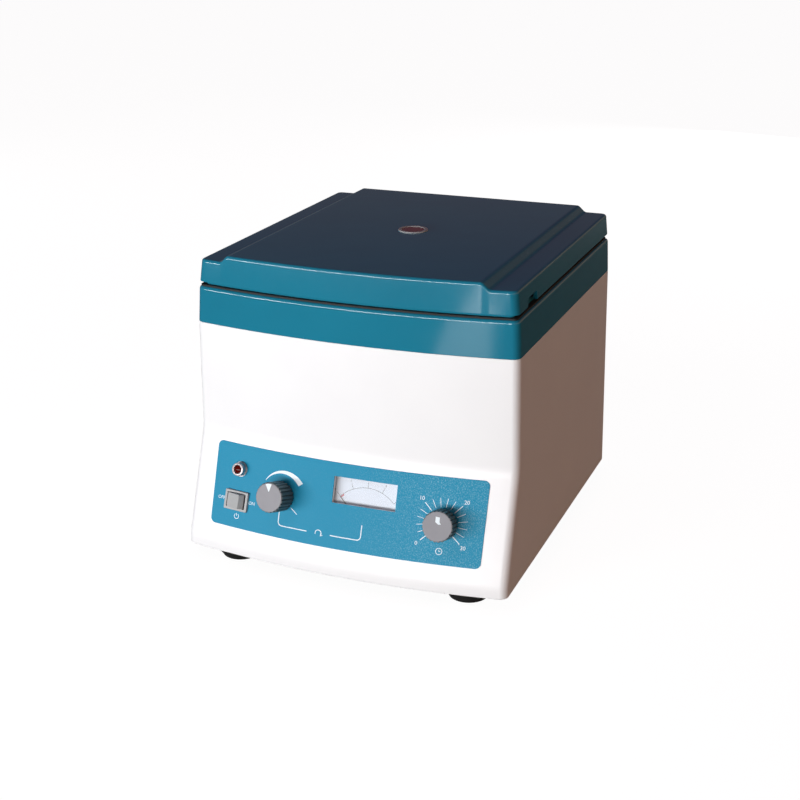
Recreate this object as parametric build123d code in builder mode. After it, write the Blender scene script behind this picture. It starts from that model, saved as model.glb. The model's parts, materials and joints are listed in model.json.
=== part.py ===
from build123d import *
import os
from math import atan2, cos, hypot, radians, sin, sqrt, tan

# Bench cytocentrifuge with a rear-hinged lid. Millimetres, +Z up, front at -Y, +X to the right as
# seen from the front. The origin is on the bench, at the middle of the object's box.

# ---------------------------------------------------------------- housing sizes
TOP_WIDTH = 263.8        # across the top cover's foot
FRONT_DEPTH = 127.5      # front corners ahead of the rotor's axis
BACK_DEPTH = 136.0       # back behind the rotor's axis
BOW = 12.0               # how far the middle of the front swells past its corners
SIDE_LEAN = 3.1          # how far each side spreads from the top cover down to the bottom
FOOT_HEIGHT = 12.0
BODY_HEIGHT = 179.5
SKIRT_HEIGHT = 8.0       # upright strip along the foot of the front
CREASE_HEIGHT = 91.0     # where the front starts to slope out, above the body's bottom
FLARE = 28.0             # how far the slope brings the front forward
COVER_HEIGHT = 28.5
COVER_DRAFT = 1.3        # how far its front and sides lean in on the way up
LID_GAP = 3.65           # light gap between top cover and lid
LID_SET = 2.1            # how far the lid's front and sides stand in from the cover's foot
FLANK_HEIGHT = 17.5      # lid height along its two sides
PLATEAU_RISE = 5.4       # how far the middle of the lid stands above its sides
PLATEAU_WIDTH = 205.0
PLATEAU_CHAMFER = 5.8    # run of the slope beside the plateau
LID_DRAFT = 1.6
CORNER_R = 5.5
EDGE_R = 2.5             # rounding of the top cover's and the lid's upper edges
WALL = 3.0
STEP_INSET = 7.0         # raised deck that the lid's skirt closes over
STEP_RISE = 5.0
FIT = 0.3                # room left between pieces that are put together or pass each other
RUN = 0.05               # radial running clearance of a shaft or pin

# ---------------------------------------------------------------- chamber and rotor sizes
BOWL_R = 107.0
BOWL_WALL = 1.2
BOWL_DEPTH = 114.0
BOWL_CORNER = 12.0
BOWL_FLANGE = 7.0
SHAFT_HOLE_R = 16.0      # in the bowl's floor
SEAL_WIDTH = 5.0
SEAL_HEIGHT = 5.0
SHAFT_R = 4.0
ROTOR_LIFT = 7.0         # rotor above the bowl's floor
ROTOR_PLATE = 3.0
HUB_R = 14.0
HUB_HEIGHT = 27.0
ROTOR_KNOB_R = 17.0
ROTOR_KNOB_HEIGHT = 20.0
GRIPS = 8                # finger grooves round the rotor knob
GRIP_R = 2.5
RIM_HEIGHT = 8.0
RIM_WALL = 3.0
STATIONS = 4
STATION_START = 45.0     # angle of the first station
PIVOT_R = 80.0           # from the rotor's axis to the carrier's pins
PIVOT_RISE = 22.0        # carrier pins above the rotor plate
REST_TILT = 15.0         # how far a carrier leans in at rest
PIN_R = 2.0
EAR_WALL = 4.0
EAR_WIDTH = 12.0

# Glass slide and what holds it
SLIDE_LENGTH = 76.0
SLIDE_WIDTH = 26.0
SLIDE_T = 1.0
SLIDE_DROP = 18.0        # slide's foot below the pins
CARD_T = 0.4
CARD_LENGTH = 58.0
SPOT_R = 3.0             # hole in the card, and the funnel's bore
SPOT_RISE = 20.0         # sample spot above the pins
FUNNEL_T = 1.5
FUNNEL_LENGTH = 56.0
FUNNEL_START = 8.0       # funnel plate's foot below the pins
SPOUT_R = 5.0
CUP_R = 8.0
CUP_BORE_R = 6.5
CUP_REACH = 22.0         # from the pins in to the cup's middle
CUP_BASE = 10.0          # cup's foot above the pins
CUP_HEIGHT = 34.0
CLIP_T = 1.2
LIP_WIDTH = 4.5

# ---------------------------------------------------------------- motor sizes
MOTOR_R = 38.0
MOTOR_LENGTH = 72.0
MOTOR_GAP = 8.8          # between the motor's top and the bowl
MOTOR_WALL = 2.5
END_CAP = 8.0
CAP_FLANGE = 6.0
CAP_FLANGE_T = 3.0
BEARING_R = 11.0
BEARING_WIDTH = 7.0
ARMATURE_R = 24.0
ARMATURE_LENGTH = 40.0
COIL_R = 26.0
COIL_LENGTH = 36.0
BRACKET_T = 3.0
MOUNT_CIRCLE_R = 56.0
MOUNT_R = 8.0
MOUNT_HEIGHT = 18.0
POST_R = 5.0
BASE_T = 2.0
BASE_EDGE = 7.5
SHAFT_TAIL = 4.0         # shaft below the motor
SHAFT_STUB = 12.0        # shaft inside the rotor knob

# ---------------------------------------------------------------- front panel sizes
PANEL_WIDTH = 227.9
PANEL_HEIGHT = 66.4      # along the slope
PANEL_X = -0.1
PANEL_RISE = 53.0        # panel's middle above the body's bottom
PANEL_T = 0.8
PANEL_CORNER_R = 4.2

LAMP_X, LAMP_RISE = -90.3, 65.9
LAMP_R = 5.35
LAMP_BODY_R = 4.0
LAMP_LENS_R = 3.2
LAMP_PROUD = 5.5
LAMP_RIM = 0.7           # washer round the bezel's foot, and the break of its outer edge
LAMP_DEPTH = 14.0

SWITCH_X, SWITCH_RISE = -90.9, 42.0
SWITCH_WIDTH = 21.5
SWITCH_HEIGHT = 15.8
SWITCH_FLANGE = 2.0
SWITCH_DEPTH = 15.0
SWITCH_BODY_WIDTH = 19.2
SWITCH_BODY_HEIGHT = 13.6
ROCKER_WIDTH = 15.8      # at the foot of its two end faces
ROCKER_FACE = 12.2       # across its flat face
ROCKER_HEIGHT = 11.4
ROCKER_POCKET = 17.4
ROCKER_TILT = 13.0
ROCKER_PIN_R = 1.2
ROCKER_PIVOT = 1.2       # pivot above the panel's foot
ROCKER_CROWN = 5.9       # its face above the panel's foot, when level
ROCKER_DROP = 7.4        # rocker below its pivot

SPEED_X, SPEED_RISE = -51.9, 52.4
TIMER_X, TIMER_RISE = 81.5, 50.5
KNOB_R = 11.9
SPEED_KNOB_TOP = 19.5    # knob's face above the panel's foot
TIMER_KNOB_TOP = 17.0
KNOB_LIFT = 1.0          # knob's skirt above the panel
KNOB_RECESS_R = 9.0
KNOB_RECESS = 4.5
FLUTES = 24
FLUTE_R = 0.7
KNOB_FACE_T = 2.8        # knob's material over the spindle's end
SPINDLE_R = 3.0
BUSH_R = 4.75
NUT_ACROSS = 7.0
NUT_T = 2.5
SPEED_CONTROL_R = 12.0
SPEED_CONTROL_DEPTH = 10.0
TIMER_BODY_WIDTH = 44.0
TIMER_BODY_DEPTH = 34.0

METER_X, METER_RISE = 18.2, 64.7
METER_WIDTH = 51.8
METER_HEIGHT = 20.5
METER_CASE_WIDTH = 62.0
METER_CASE_TOP = 14.0    # case above the window's middle
METER_CASE_FOOT = 34.0   # case below the window's middle
METER_CASE_DEPTH = 24.0
METER_WALL = 2.0
METER_PANE = 1.0
METER_PIVOT = 27.3       # needle's pivot below the window's middle
METER_ARC_R = 31.2
NEEDLE_ANGLE = 45.0      # needle's rest, left of upright
NEEDLE_WIDTH = 0.7
NEEDLE_T = 0.4
NEEDLE_HUB_R = 2.2
NEEDLE_SPINDLE_R = 0.75
NEEDLE_TAIL = 4.0
DIAL_T = 0.8
DIAL_SINK = 1.6          # dial behind the pane
MOVEMENT_WIDTH = 26.0
MOVEMENT_HEIGHT = 16.0
MOVEMENT_DEPTH = 10.0

# ---------------------------------------------------------------- hinge, rear and fastener sizes
HINGE_IN = 50.0          # middle of a hinge, in from the side
HINGE_LENGTH = 42.0
KNUCKLE_R = 3.5
KNUCKLE_LENGTH = 14.0
LEAF_T = 1.5
LEAF_HEIGHT = 18.0
HINGE_SET = 4.0          # hinge axis behind the housing's back
HINGE_PIN_R = 1.5

INLET_IN, INLET_RISE = 58.0, 34.0
INLET_FLANGE_WIDTH = 50.0
INLET_FLANGE_HEIGHT = 22.5
INLET_FLANGE_T = 2.0
INLET_WIDTH = 27.0
INLET_HEIGHT = 19.8
INLET_DEPTH = 20.0
SOCKET_WIDTH = 24.5
SOCKET_HEIGHT = 17.0
SOCKET_DEPTH = 17.0
PRONG_WIDTH = 2.0
PRONG_HEIGHT = 4.0
PRONG_SPREAD = 7.0
EARTH_RISE = 4.0
PRONG_LENGTH = 14.0
FUSE_GAP = 42.0          # from the inlet's middle to the fuse holder's
FUSE_R = 6.3
FUSE_FLANGE_R = 8.0
FUSE_FLANGE_T = 1.5
FUSE_CAP_R = 6.5
FUSE_CAP_PROUD = 4.5
FUSE_DEPTH = 28.0
VENT_IN, VENT_RISE = 68.0, 46.0
VENT_COUNT = 9
VENT_PITCH = 9.0
VENT_LENGTH = 40.0
VENT_WIDTH = 3.5

FOOT_TOP_R = 22.0
FOOT_R = 15.6
FOOT_IN = 33.9           # foot's middle, in from the side
FRONT_FOOT_SET = 150.0   # front feet ahead of the rotor's axis
REAR_FOOT_SET = 100.0
FOOT_HEAD_R = 4.5
FOOT_HEAD_SINK = 5.0
FOOT_SCREW_R = 2.0
FOOT_SCREW_LENGTH = 11.0
HEAD_T = 2.4
HEAD_R = 3.0
SCREW_R = 1.5
BOSS_SIZE = 20.0
BOSS_HEIGHT = 16.0
BOSS_SINK = 2.0          # how far a boss is buried in the wall's corner
PILLAR_R = 5.0
THREAD_DEPTH = 10.0

SIGHT_R = 12.0
SIGHT_TUBE_R = 10.8
SIGHT_BORE_R = 9.4
SIGHT_SHOULDER_R = 8.2
SIGHT_PROUD = 0.8
SIGHT_GLASS_T = 2.5
LINER_T = 1.5
LINER_INSET = 12.0
NOTCH_FRONT = 108.0      # finger notch, ahead of the rotor's axis
NOTCH_BACK = 79.0
NOTCH_SLOPE = 9.0
NOTCH_HEIGHT = 6.7
BOARD_WIDTH = 72.0
BOARD_DEPTH = 48.0
BOARD_T = 1.6
BOARD_IN, BOARD_SET = 22.0, 86.0  # board's edge in from the side, its middle behind the axis
SPACER_R = 3.0
SPACER_HEIGHT = 8.0
TRANSFORMER = 28.0       # width and depth of the transformer on the board
TRANSFORMER_HEIGHT = 24.0
TRANSFORMER_X = -16.0    # from the board's middle
CAPACITOR_R = 6.7
CAPACITOR_HEIGHT = 22.0
CAPACITOR_X, CAPACITOR_Y = 11.5, 9.6
SINK_WIDTH = 21.6        # heat sink of thin upright fins
SINK_HEIGHT = 20.0
SINK_X, SINK_Y = 18.7, -19.2
SINK_FINS = 5
FIN_T = 1.5
FIN_PITCH = 4.0

# ---------------------------------------------------------------- worked out from the sizes
SLOPE = atan2(FLARE, CREASE_HEIGHT - SKIRT_HEIGHT)
BOW_R = ((TOP_WIDTH / 2) ** 2 + BOW**2) / (2 * BOW)

BODY_BASE = FOOT_HEIGHT
SKIRT_TOP = BODY_BASE + SKIRT_HEIGHT
CREASE = BODY_BASE + CREASE_HEIGHT
BODY_TOP = BODY_BASE + BODY_HEIGHT
COVER_TOP = BODY_TOP + COVER_HEIGHT
DECK_TOP = COVER_TOP + STEP_RISE
LID_BASE = COVER_TOP + LID_GAP
FLANK_TOP = LID_BASE + FLANK_HEIGHT
LID_TOP = FLANK_TOP + PLATEAU_RISE
HINGE_Z = COVER_TOP + LID_GAP / 2


def flare_at(level):
    """How far the slope has brought the front forward at this level."""
    return min(max(CREASE - level, 0), CREASE - SKIRT_TOP) * tan(SLOPE)


def front_reach(x, level):
    """How far the housing's outer front is ahead of the rotor's axis, at this x and level."""
    return FRONT_DEPTH + flare_at(level) + sqrt(BOW_R**2 - x**2) - BOW_R + BOW


# The speed knob's face is the foremost point, the hinge knuckles the rearmost
KNOB_REACH = (
    front_reach(SPEED_X, BODY_BASE + SPEED_RISE) + SPEED_KNOB_TOP * cos(SLOPE)
    + KNOB_R * hypot(sin(SLOPE), SPEED_X / BOW_R)
)
FRONT_REACH = max(FRONT_DEPTH + BOW + FLARE, KNOB_REACH)
REAR_REACH = BACK_DEPTH + HINGE_SET + KNUCKLE_R
AXIS_Y = (FRONT_REACH - REAR_REACH) / 2
REAR_Y = AXIS_Y + BACK_DEPTH
CORNER_Y = AXIS_Y - FRONT_DEPTH

BOWL_TOP = DECK_TOP + BOWL_WALL
BOWL_FLOOR = BOWL_TOP - BOWL_DEPTH
SEAL_R = BOWL_R + (BOWL_FLANGE - SEAL_WIDTH) / 2
SEAL_TOP = BOWL_TOP + SEAL_HEIGHT
LINER_BASE = SEAL_TOP + FIT

BASE_TOP = BODY_BASE + BASE_T
MOTOR_TOP = BOWL_FLOOR - BOWL_WALL - MOTOR_GAP
MOTOR_BASE = MOTOR_TOP - MOTOR_LENGTH
MOTOR_MIDDLE = (MOTOR_TOP + MOTOR_BASE) / 2
BRACKET_BASE = MOTOR_TOP - END_CAP - BRACKET_T
MOUNT_BASE = BRACKET_BASE - MOUNT_HEIGHT

PLATE_BASE = BOWL_FLOOR + ROTOR_LIFT
PLATE_TOP = PLATE_BASE + ROTOR_PLATE
HUB_TOP = PLATE_TOP + HUB_HEIGHT
PIVOT_Z = PLATE_TOP + PIVOT_RISE
CLIP_HALF = SLIDE_WIDTH / 2 + FIT + CLIP_T
EAR_START = CLIP_HALF + 2 * FIT
EAR_END = EAR_START + EAR_WALL

# Across a carrier, from the pins outwards: funnel plate, card, slide, back of the clip
CARD_IN = FUNNEL_T
SLIDE_IN = CARD_IN + CARD_T
CLIP_IN = SLIDE_IN + SLIDE_T
CLIP_OUT = CLIP_IN + CLIP_T
LIP_IN = -FIT - CLIP_T
CLIP_FOOT = -SLIDE_DROP - FIT - CLIP_T
CLIP_HEAD = SLIDE_LENGTH - SLIDE_DROP + CLIP_T

TILT = radians(REST_TILT)
FOOT_SWING = CLIP_OUT * cos(TILT) - CLIP_FOOT * sin(TILT)
RIM_IN = hypot(PIVOT_R + FOOT_SWING, CLIP_HALF) + FIT
RIM_R = RIM_IN + RIM_WALL
RIB_R = PIVOT_R + LIP_IN - FIT

HALF_TOP = TOP_WIDTH / 2
FOOT_X = HALF_TOP - FOOT_IN
HINGE_X = HALF_TOP - HINGE_IN
INLET_X = HALF_TOP - INLET_IN
FUSE_X = INLET_X - FUSE_GAP
VENT_X = VENT_IN - HALF_TOP
BOARD_X = BOARD_IN + BOARD_WIDTH / 2 - HALF_TOP

BENCH = Plane.XY
TURN = Plane(origin=(0, AXIS_Y, 0))                                   # the rotor's axis
BACK = Plane(origin=(0, REAR_Y, 0), x_dir=(-1, 0, 0), z_dir=(0, 1, 0))  # seen from behind
FACE = Plane(origin=(0, AXIS_Y, 0), x_dir=(1, 0, 0), z_dir=(0, -1, 0))  # upright, through the axis
SIDE = Plane(origin=(0, AXIS_Y, 0), x_dir=(0, 1, 0), z_dir=(1, 0, 0))   # upright, seen from +X


def front_y(x, level):
    """Where the housing's outer front is at this x and level."""
    return AXIS_Y - front_reach(x, level)


def half_width(level):
    """Half the housing's outer width at this level."""
    return TOP_WIDTH / 2 + SIDE_LEAN * max(BODY_TOP - level, 0) / BODY_HEIGHT


def panel_plane(x, rise):
    """Plane that touches the sloped front at x, rise above the body's bottom, facing out."""
    level = BODY_BASE + rise
    turn = x / sqrt(BOW_R**2 - x**2)
    return Plane(
        origin=(x, front_y(x, level), level),
        x_dir=(1, turn, 0),
        z_dir=(turn * cos(SLOPE), -cos(SLOPE), sin(SLOPE)),
    )


def seat_depth(half_span):
    """Depth behind the panel's foot where a flat piece this wide clears the bowed wall."""
    return WALL * cos(SLOPE) + half_span**2 / (2 * BOW_R) + FIT / 2


def housing_plan(level, inset=0.0, draft=0.0):
    """Plan of the housing at one level: bowed front, straight sides and back, round corners."""
    half = half_width(level) - inset - draft
    front = inset + draft
    back = REAR_Y - inset
    with BuildSketch(Plane.XY.offset(level)) as plan:
        with BuildLine():
            bow = ThreePointArc(
                (-half, front_y(half, level) + front),
                (0, front_y(0, level) + front),
                (half, front_y(half, level) + front),
            )
            Polyline(bow @ 1, (half, back), (-half, back), bow @ 0)
        make_face()
        fillet(plan.vertices(), max(CORNER_R - inset, CORNER_R / 3))
    return plan.sketch


def bar(plane, radius, low, high, at=((0, 0),), mode=Mode.ADD):
    """Round bars along the plane's normal, from low to high above the plane."""
    with BuildSketch(plane.offset(low)) as section:
        with Locations(*at):
            Circle(radius)
    extrude(section.sketch, amount=high - low, mode=mode)


def block(plane, width, height, low, high, at=((0, 0),), mode=Mode.ADD):
    """Square blocks along the plane's normal, from low to high above the plane."""
    with BuildSketch(plane.offset(low)) as section:
        with Locations(*at):
            Rectangle(width, height)
    extrude(section.sketch, amount=high - low, mode=mode)


def ring(count, start, radius):
    """Points spread evenly on a circle, the first one at the angle given."""
    return [Vector(radius, 0).rotate(Axis.Z, start + turn * 360 / count) for turn in range(count)]


def turned(plane, angle):
    """The plane turned about its own normal."""
    return Plane(plane.location * Location((0, 0, 0), (0, 0, angle)))


def keep(piece, name):
    """Label a finished piece and write its file."""
    piece.label = name
    export_step(piece, f"parts/{name}.step")


os.makedirs("parts", exist_ok=True)

LAMP_SPOT = panel_plane(LAMP_X, LAMP_RISE)
SWITCH_SPOT = panel_plane(SWITCH_X, SWITCH_RISE)
SPEED_SPOT = panel_plane(SPEED_X, SPEED_RISE)
TIMER_SPOT = panel_plane(TIMER_X, TIMER_RISE)
METER_SPOT = panel_plane(METER_X, METER_RISE)
PANEL_SPOT = panel_plane(0, PANEL_RISE)

MOUNT_POINTS = ring(3, 90, MOUNT_CIRCLE_R)
FOOT_POINTS = [
    (side * FOOT_X, AXIS_Y + set_back)
    for side in (-1, 1)
    for set_back in (-FRONT_FOOT_SET + FOOT_R, REAR_FOOT_SET)
]
BOSS_IN = BOSS_SINK + BOSS_SIZE / 2
UPPER_BOSSES, LOWER_BOSSES = [
    [(side * (half_width(level) - BOSS_IN), y) for side in (-1, 1)
     for y in (CORNER_Y + BOSS_IN, REAR_Y - BOSS_IN)]
    for level in (BODY_TOP, BODY_BASE)
]


def panel_holes(reach):
    """Cut what the lamp, switch, two spindle bushes and meter pass through."""
    bar(LAMP_SPOT, LAMP_BODY_R + FIT / 2, -reach, reach, mode=Mode.SUBTRACT)
    bar(SPEED_SPOT, BUSH_R + FIT / 2, -reach, reach, mode=Mode.SUBTRACT)
    bar(TIMER_SPOT, BUSH_R + FIT / 2, -reach, reach, mode=Mode.SUBTRACT)
    block(SWITCH_SPOT, SWITCH_BODY_WIDTH + FIT, SWITCH_BODY_HEIGHT + FIT, -reach, reach,
          mode=Mode.SUBTRACT)
    block(METER_SPOT, METER_WIDTH, METER_HEIGHT, -reach, reach, mode=Mode.SUBTRACT)


# ================================================================ housing
# Pressed steel tray that closes the bottom, with three welded posts for the motor.
with BuildPart() as base_plate:
    extrude(housing_plan(BODY_BASE, WALL + FIT), amount=BASE_EDGE)
    extrude(housing_plan(BASE_TOP, WALL + FIT + BASE_T), amount=BASE_EDGE, mode=Mode.SUBTRACT)
    bar(TURN, POST_R, BASE_TOP, MOUNT_BASE, MOUNT_POINTS)
    bar(BENCH, FOOT_SCREW_R + RUN, BODY_BASE, BASE_TOP, FOOT_POINTS, Mode.SUBTRACT)
    bar(BENCH, SCREW_R + RUN, BODY_BASE, BASE_TOP, LOWER_BOSSES, Mode.SUBTRACT)
    with BuildSketch(TURN.offset(BODY_BASE)):
        with GridLocations(0, VENT_PITCH, 1, 5):
            SlotOverall(VENT_LENGTH, VENT_WIDTH)
    extrude(amount=BASE_T, mode=Mode.SUBTRACT)
keep(base_plate.part, "base_plate")

# White moulded shell, open at top and bottom, with screw bosses in its corners.
BODY_LEVELS = (BODY_BASE, SKIRT_TOP, CREASE, BODY_TOP)
with BuildPart() as body_shell:
    loft([housing_plan(level) for level in BODY_LEVELS], ruled=True)
    loft([housing_plan(level, WALL) for level in BODY_LEVELS], ruled=True, mode=Mode.SUBTRACT)
    block(BENCH, BOSS_SIZE, BOSS_SIZE, BODY_TOP - BOSS_HEIGHT, BODY_TOP, UPPER_BOSSES)
    block(BENCH, BOSS_SIZE, BOSS_SIZE, BODY_BASE + BASE_EDGE + FIT, BODY_BASE + BASE_EDGE + BOSS_HEIGHT,
          LOWER_BOSSES)
    bar(BENCH, PILLAR_R, BASE_TOP, BODY_BASE + BASE_EDGE + BOSS_HEIGHT, LOWER_BOSSES)
    bar(BENCH, SCREW_R + RUN, BODY_TOP - THREAD_DEPTH - FIT, BODY_TOP, UPPER_BOSSES, Mode.SUBTRACT)
    bar(BENCH, SCREW_R + RUN, BASE_TOP, BASE_TOP + THREAD_DEPTH + FIT, LOWER_BOSSES, Mode.SUBTRACT)
    panel_holes(WALL * 3)
    block(BACK, INLET_WIDTH + FIT, INLET_HEIGHT + FIT, -2 * WALL, WALL,
          [(-INLET_X, BODY_BASE + INLET_RISE)], Mode.SUBTRACT)
    bar(BACK, FUSE_R + FIT / 2, -2 * WALL, WALL, [(-FUSE_X, BODY_BASE + INLET_RISE)], Mode.SUBTRACT)
    with BuildSketch(BACK.offset(-2 * WALL)):
        with Locations((-VENT_X, BODY_BASE + VENT_RISE)):
            with GridLocations(VENT_PITCH, 0, VENT_COUNT, 1):
                SlotOverall(VENT_LENGTH, VENT_WIDTH, rotation=90)
    extrude(amount=3 * WALL, mode=Mode.SUBTRACT)
keep(body_shell.part, "body_shell")

# Teal moulded cover that carries the bowl; its raised deck goes up inside the lid's skirt.
with BuildPart() as top_cover:
    loft([housing_plan(BODY_TOP), housing_plan(COVER_TOP, draft=COVER_DRAFT)], ruled=True)
    fillet(top_cover.faces().sort_by(Axis.Z)[-1].edges(), EDGE_R)
    loft([housing_plan(BODY_TOP, WALL), housing_plan(COVER_TOP - WALL, WALL, COVER_DRAFT)], ruled=True,
         mode=Mode.SUBTRACT)
    extrude(housing_plan(COVER_TOP - WALL, STEP_INSET), amount=STEP_RISE + WALL)
    extrude(housing_plan(COVER_TOP - WALL, STEP_INSET + WALL), amount=STEP_RISE, mode=Mode.SUBTRACT)
    bar(BENCH, PILLAR_R, BODY_TOP, DECK_TOP - WALL, UPPER_BOSSES)
    bar(BENCH, SCREW_R + RUN, BODY_TOP, DECK_TOP, UPPER_BOSSES, Mode.SUBTRACT)
    bar(TURN, BOWL_R + BOWL_WALL + FIT, BODY_TOP, DECK_TOP, mode=Mode.SUBTRACT)
keep(top_cover.part, "top_cover")

# Printed aluminium panel, bent to the bow of the front and stuck on the slope.
with BuildPart() as front_panel:
    half = half_width(CREASE)
    with BuildSketch(Plane.XY.offset(CREASE)):
        with BuildLine():
            inner = ThreePointArc((-half, front_y(half, CREASE)), (0, front_y(0, CREASE)),
                                  (half, front_y(half, CREASE)))
            proud = PANEL_T / cos(SLOPE)
            outer = ThreePointArc((-half, front_y(half, CREASE) - proud), (0, front_y(0, CREASE) - proud),
                                  (half, front_y(half, CREASE) - proud))
            Line(inner @ 0, outer @ 0)
            Line(inner @ 1, outer @ 1)
        make_face()
    extrude(amount=(CREASE - SKIRT_TOP) / cos(SLOPE), dir=(0, -sin(SLOPE), -cos(SLOPE)))
    with BuildSketch(PANEL_SPOT.offset(-2 * BOW)):
        with Locations((PANEL_X, 0)):
            RectangleRounded(PANEL_WIDTH, PANEL_HEIGHT, PANEL_CORNER_R)
    extrude(amount=3 * BOW, mode=Mode.INTERSECT)
    panel_holes(WALL * 3)
keep(front_panel.part, "front_panel")

# Rubber feet with sunk screws.
with BuildPart() as rubber_feet:
    with Locations(*[(x, y, FOOT_HEIGHT / 2) for x, y in FOOT_POINTS]):
        Cone(FOOT_R, FOOT_TOP_R, FOOT_HEIGHT)
    bar(BENCH, FOOT_HEAD_R + FIT, 0, FOOT_HEAD_SINK, FOOT_POINTS, Mode.SUBTRACT)
    bar(BENCH, FOOT_SCREW_R + RUN, 0, FOOT_HEIGHT, FOOT_POINTS, Mode.SUBTRACT)
keep(rubber_feet.part, "rubber_feet")

# Screws of the feet, of the base plate's corners and of the top cover.
with BuildPart() as housing_screws:
    bar(BENCH, FOOT_HEAD_R, FOOT_HEAD_SINK - HEAD_T, FOOT_HEAD_SINK, FOOT_POINTS)
    bar(BENCH, FOOT_SCREW_R, FOOT_HEAD_SINK, FOOT_HEAD_SINK + FOOT_SCREW_LENGTH, FOOT_POINTS)
    bar(BENCH, HEAD_R, BODY_BASE - HEAD_T, BODY_BASE, LOWER_BOSSES)
    bar(BENCH, SCREW_R, BODY_BASE, BASE_TOP + THREAD_DEPTH, LOWER_BOSSES)
    bar(BENCH, HEAD_R, DECK_TOP, DECK_TOP + HEAD_T, UPPER_BOSSES)
    bar(BENCH, SCREW_R, BODY_TOP - THREAD_DEPTH, DECK_TOP, UPPER_BOSSES)
keep(housing_screws.part, "housing_screws")

# ================================================================ chamber
# Deep-drawn stainless bowl, hung by its flange on the cover's deck.
with BuildPart() as bowl_space:
    bar(TURN, BOWL_R, BOWL_FLOOR, DECK_TOP + STEP_RISE)
    fillet(bowl_space.edges().group_by(Axis.Z)[0], BOWL_CORNER)
with BuildPart() as spin_bowl:
    bar(TURN, BOWL_R + BOWL_WALL, BOWL_FLOOR - BOWL_WALL, BOWL_TOP)
    fillet(spin_bowl.edges().group_by(Axis.Z)[0], BOWL_CORNER + BOWL_WALL)
    bar(TURN, BOWL_R + BOWL_FLANGE, DECK_TOP, BOWL_TOP)
    add(bowl_space.part, mode=Mode.SUBTRACT)
    bar(TURN, SHAFT_HOLE_R, BOWL_FLOOR - BOWL_WALL, BOWL_FLOOR, mode=Mode.SUBTRACT)
keep(spin_bowl.part, "spin_bowl")

# Rubber ring on the bowl's flange, which the lid's liner closes on.
with BuildPart() as bowl_seal:
    bar(TURN, SEAL_R + SEAL_WIDTH, BOWL_TOP, SEAL_TOP)
    bar(TURN, SEAL_R, BOWL_TOP, SEAL_TOP, mode=Mode.SUBTRACT)
    fillet(bowl_seal.edges().group_by(Axis.Z)[-1], SEAL_WIDTH / 4)
keep(bowl_seal.part, "bowl_seal")


# ================================================================ lid
def lid_form(inset, base):
    """Solid form of the lid, moved in by inset: a plateau from front to back between low flanks."""
    top, flank = LID_TOP - inset, FLANK_TOP - inset
    edge = PLATEAU_WIDTH / 2 - inset / 2
    with BuildPart() as form:
        loft([housing_plan(base, inset, LID_SET), housing_plan(top, inset, LID_SET + LID_DRAFT)], ruled=True)
        with BuildSketch(FACE):
            for side in (-1, 1):
                with BuildLine():
                    Polyline(
                        (side * edge, top),
                        (side * (edge + PLATEAU_CHAMFER), flank),
                        (side * TOP_WIDTH, flank),
                        (side * TOP_WIDTH, top + inset + EDGE_R),
                        (side * edge, top + inset + EDGE_R),
                        close=True,
                    )
                make_face()
        extrude(amount=TOP_WIDTH, both=True, mode=Mode.SUBTRACT)
    return form.part


lid_hollow = lid_form(WALL, LID_BASE)
with BuildPart() as lid_shell:
    add(lid_form(0, LID_BASE))
    fillet(lid_shell.edges().filter_by_position(Axis.Z, FLANK_TOP - FIT, LID_TOP + FIT), EDGE_R)
    add(lid_hollow, mode=Mode.SUBTRACT)
    bar(TURN, SIGHT_TUBE_R + RUN, LID_BASE, LID_TOP, mode=Mode.SUBTRACT)
    with BuildSketch(SIDE):
        with BuildLine():
            Polyline(
                (-NOTCH_FRONT, LID_BASE),
                (-NOTCH_FRONT + NOTCH_SLOPE, LID_BASE + NOTCH_HEIGHT),
                (-NOTCH_BACK, LID_BASE + NOTCH_HEIGHT),
                (-NOTCH_BACK, LID_BASE),
                close=True,
            )
        make_face()
    extrude(amount=TOP_WIDTH, both=True, mode=Mode.SUBTRACT)
keep(lid_shell.part, "lid_shell")

# Flat inner lid with an upturned edge that is bonded under the lid's flanks.
with BuildPart() as lid_liner:
    extrude(housing_plan(LINER_BASE, LINER_INSET), amount=FLANK_TOP - WALL - LINER_BASE)
    extrude(housing_plan(LINER_BASE + LINER_T, LINER_INSET + LINER_T), amount=FLANK_TOP, mode=Mode.SUBTRACT)
    bar(TURN, SIGHT_TUBE_R + RUN, LINER_BASE, LINER_BASE + LINER_T, mode=Mode.SUBTRACT)
keep(lid_liner.part, "lid_liner")

# Sight port: flanged sleeve through lid and liner, with a glass on its shoulder.
GLASS_BASE = LID_TOP + SIGHT_PROUD / 2 - SIGHT_GLASS_T
with BuildPart() as sight_ring:
    bar(TURN, SIGHT_TUBE_R, LINER_BASE, LID_TOP)
    bar(TURN, SIGHT_R, LID_TOP, LID_TOP + SIGHT_PROUD)
    bar(TURN, SIGHT_SHOULDER_R, LINER_BASE, LID_TOP, mode=Mode.SUBTRACT)
    bar(TURN, SIGHT_BORE_R, GLASS_BASE, LID_TOP + SIGHT_PROUD, mode=Mode.SUBTRACT)
keep(sight_ring.part, "sight_ring")

with BuildPart() as sight_glass:
    bar(TURN, SIGHT_BORE_R - RUN, GLASS_BASE, GLASS_BASE + SIGHT_GLASS_T)
keep(sight_glass.part, "sight_glass")

# Two steel butt hinges: the outer knuckles belong to the cover's leaves, the middle one to the lid's.
HINGE_ENDS = [(side * HINGE_X + end * (HINGE_LENGTH - KNUCKLE_LENGTH) / 2, 0)
              for side in (-1, 1) for end in (-1, 1)]
HINGE_MIDDLES = [(side * HINGE_X, 0) for side in (-1, 1)]
MIDDLE_KNUCKLE = HINGE_LENGTH - 2 * KNUCKLE_LENGTH - 2 * FIT
HINGE_LINE = Plane(origin=(0, REAR_Y + HINGE_SET, HINGE_Z), x_dir=(0, 0, 1), z_dir=(1, 0, 0))


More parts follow.
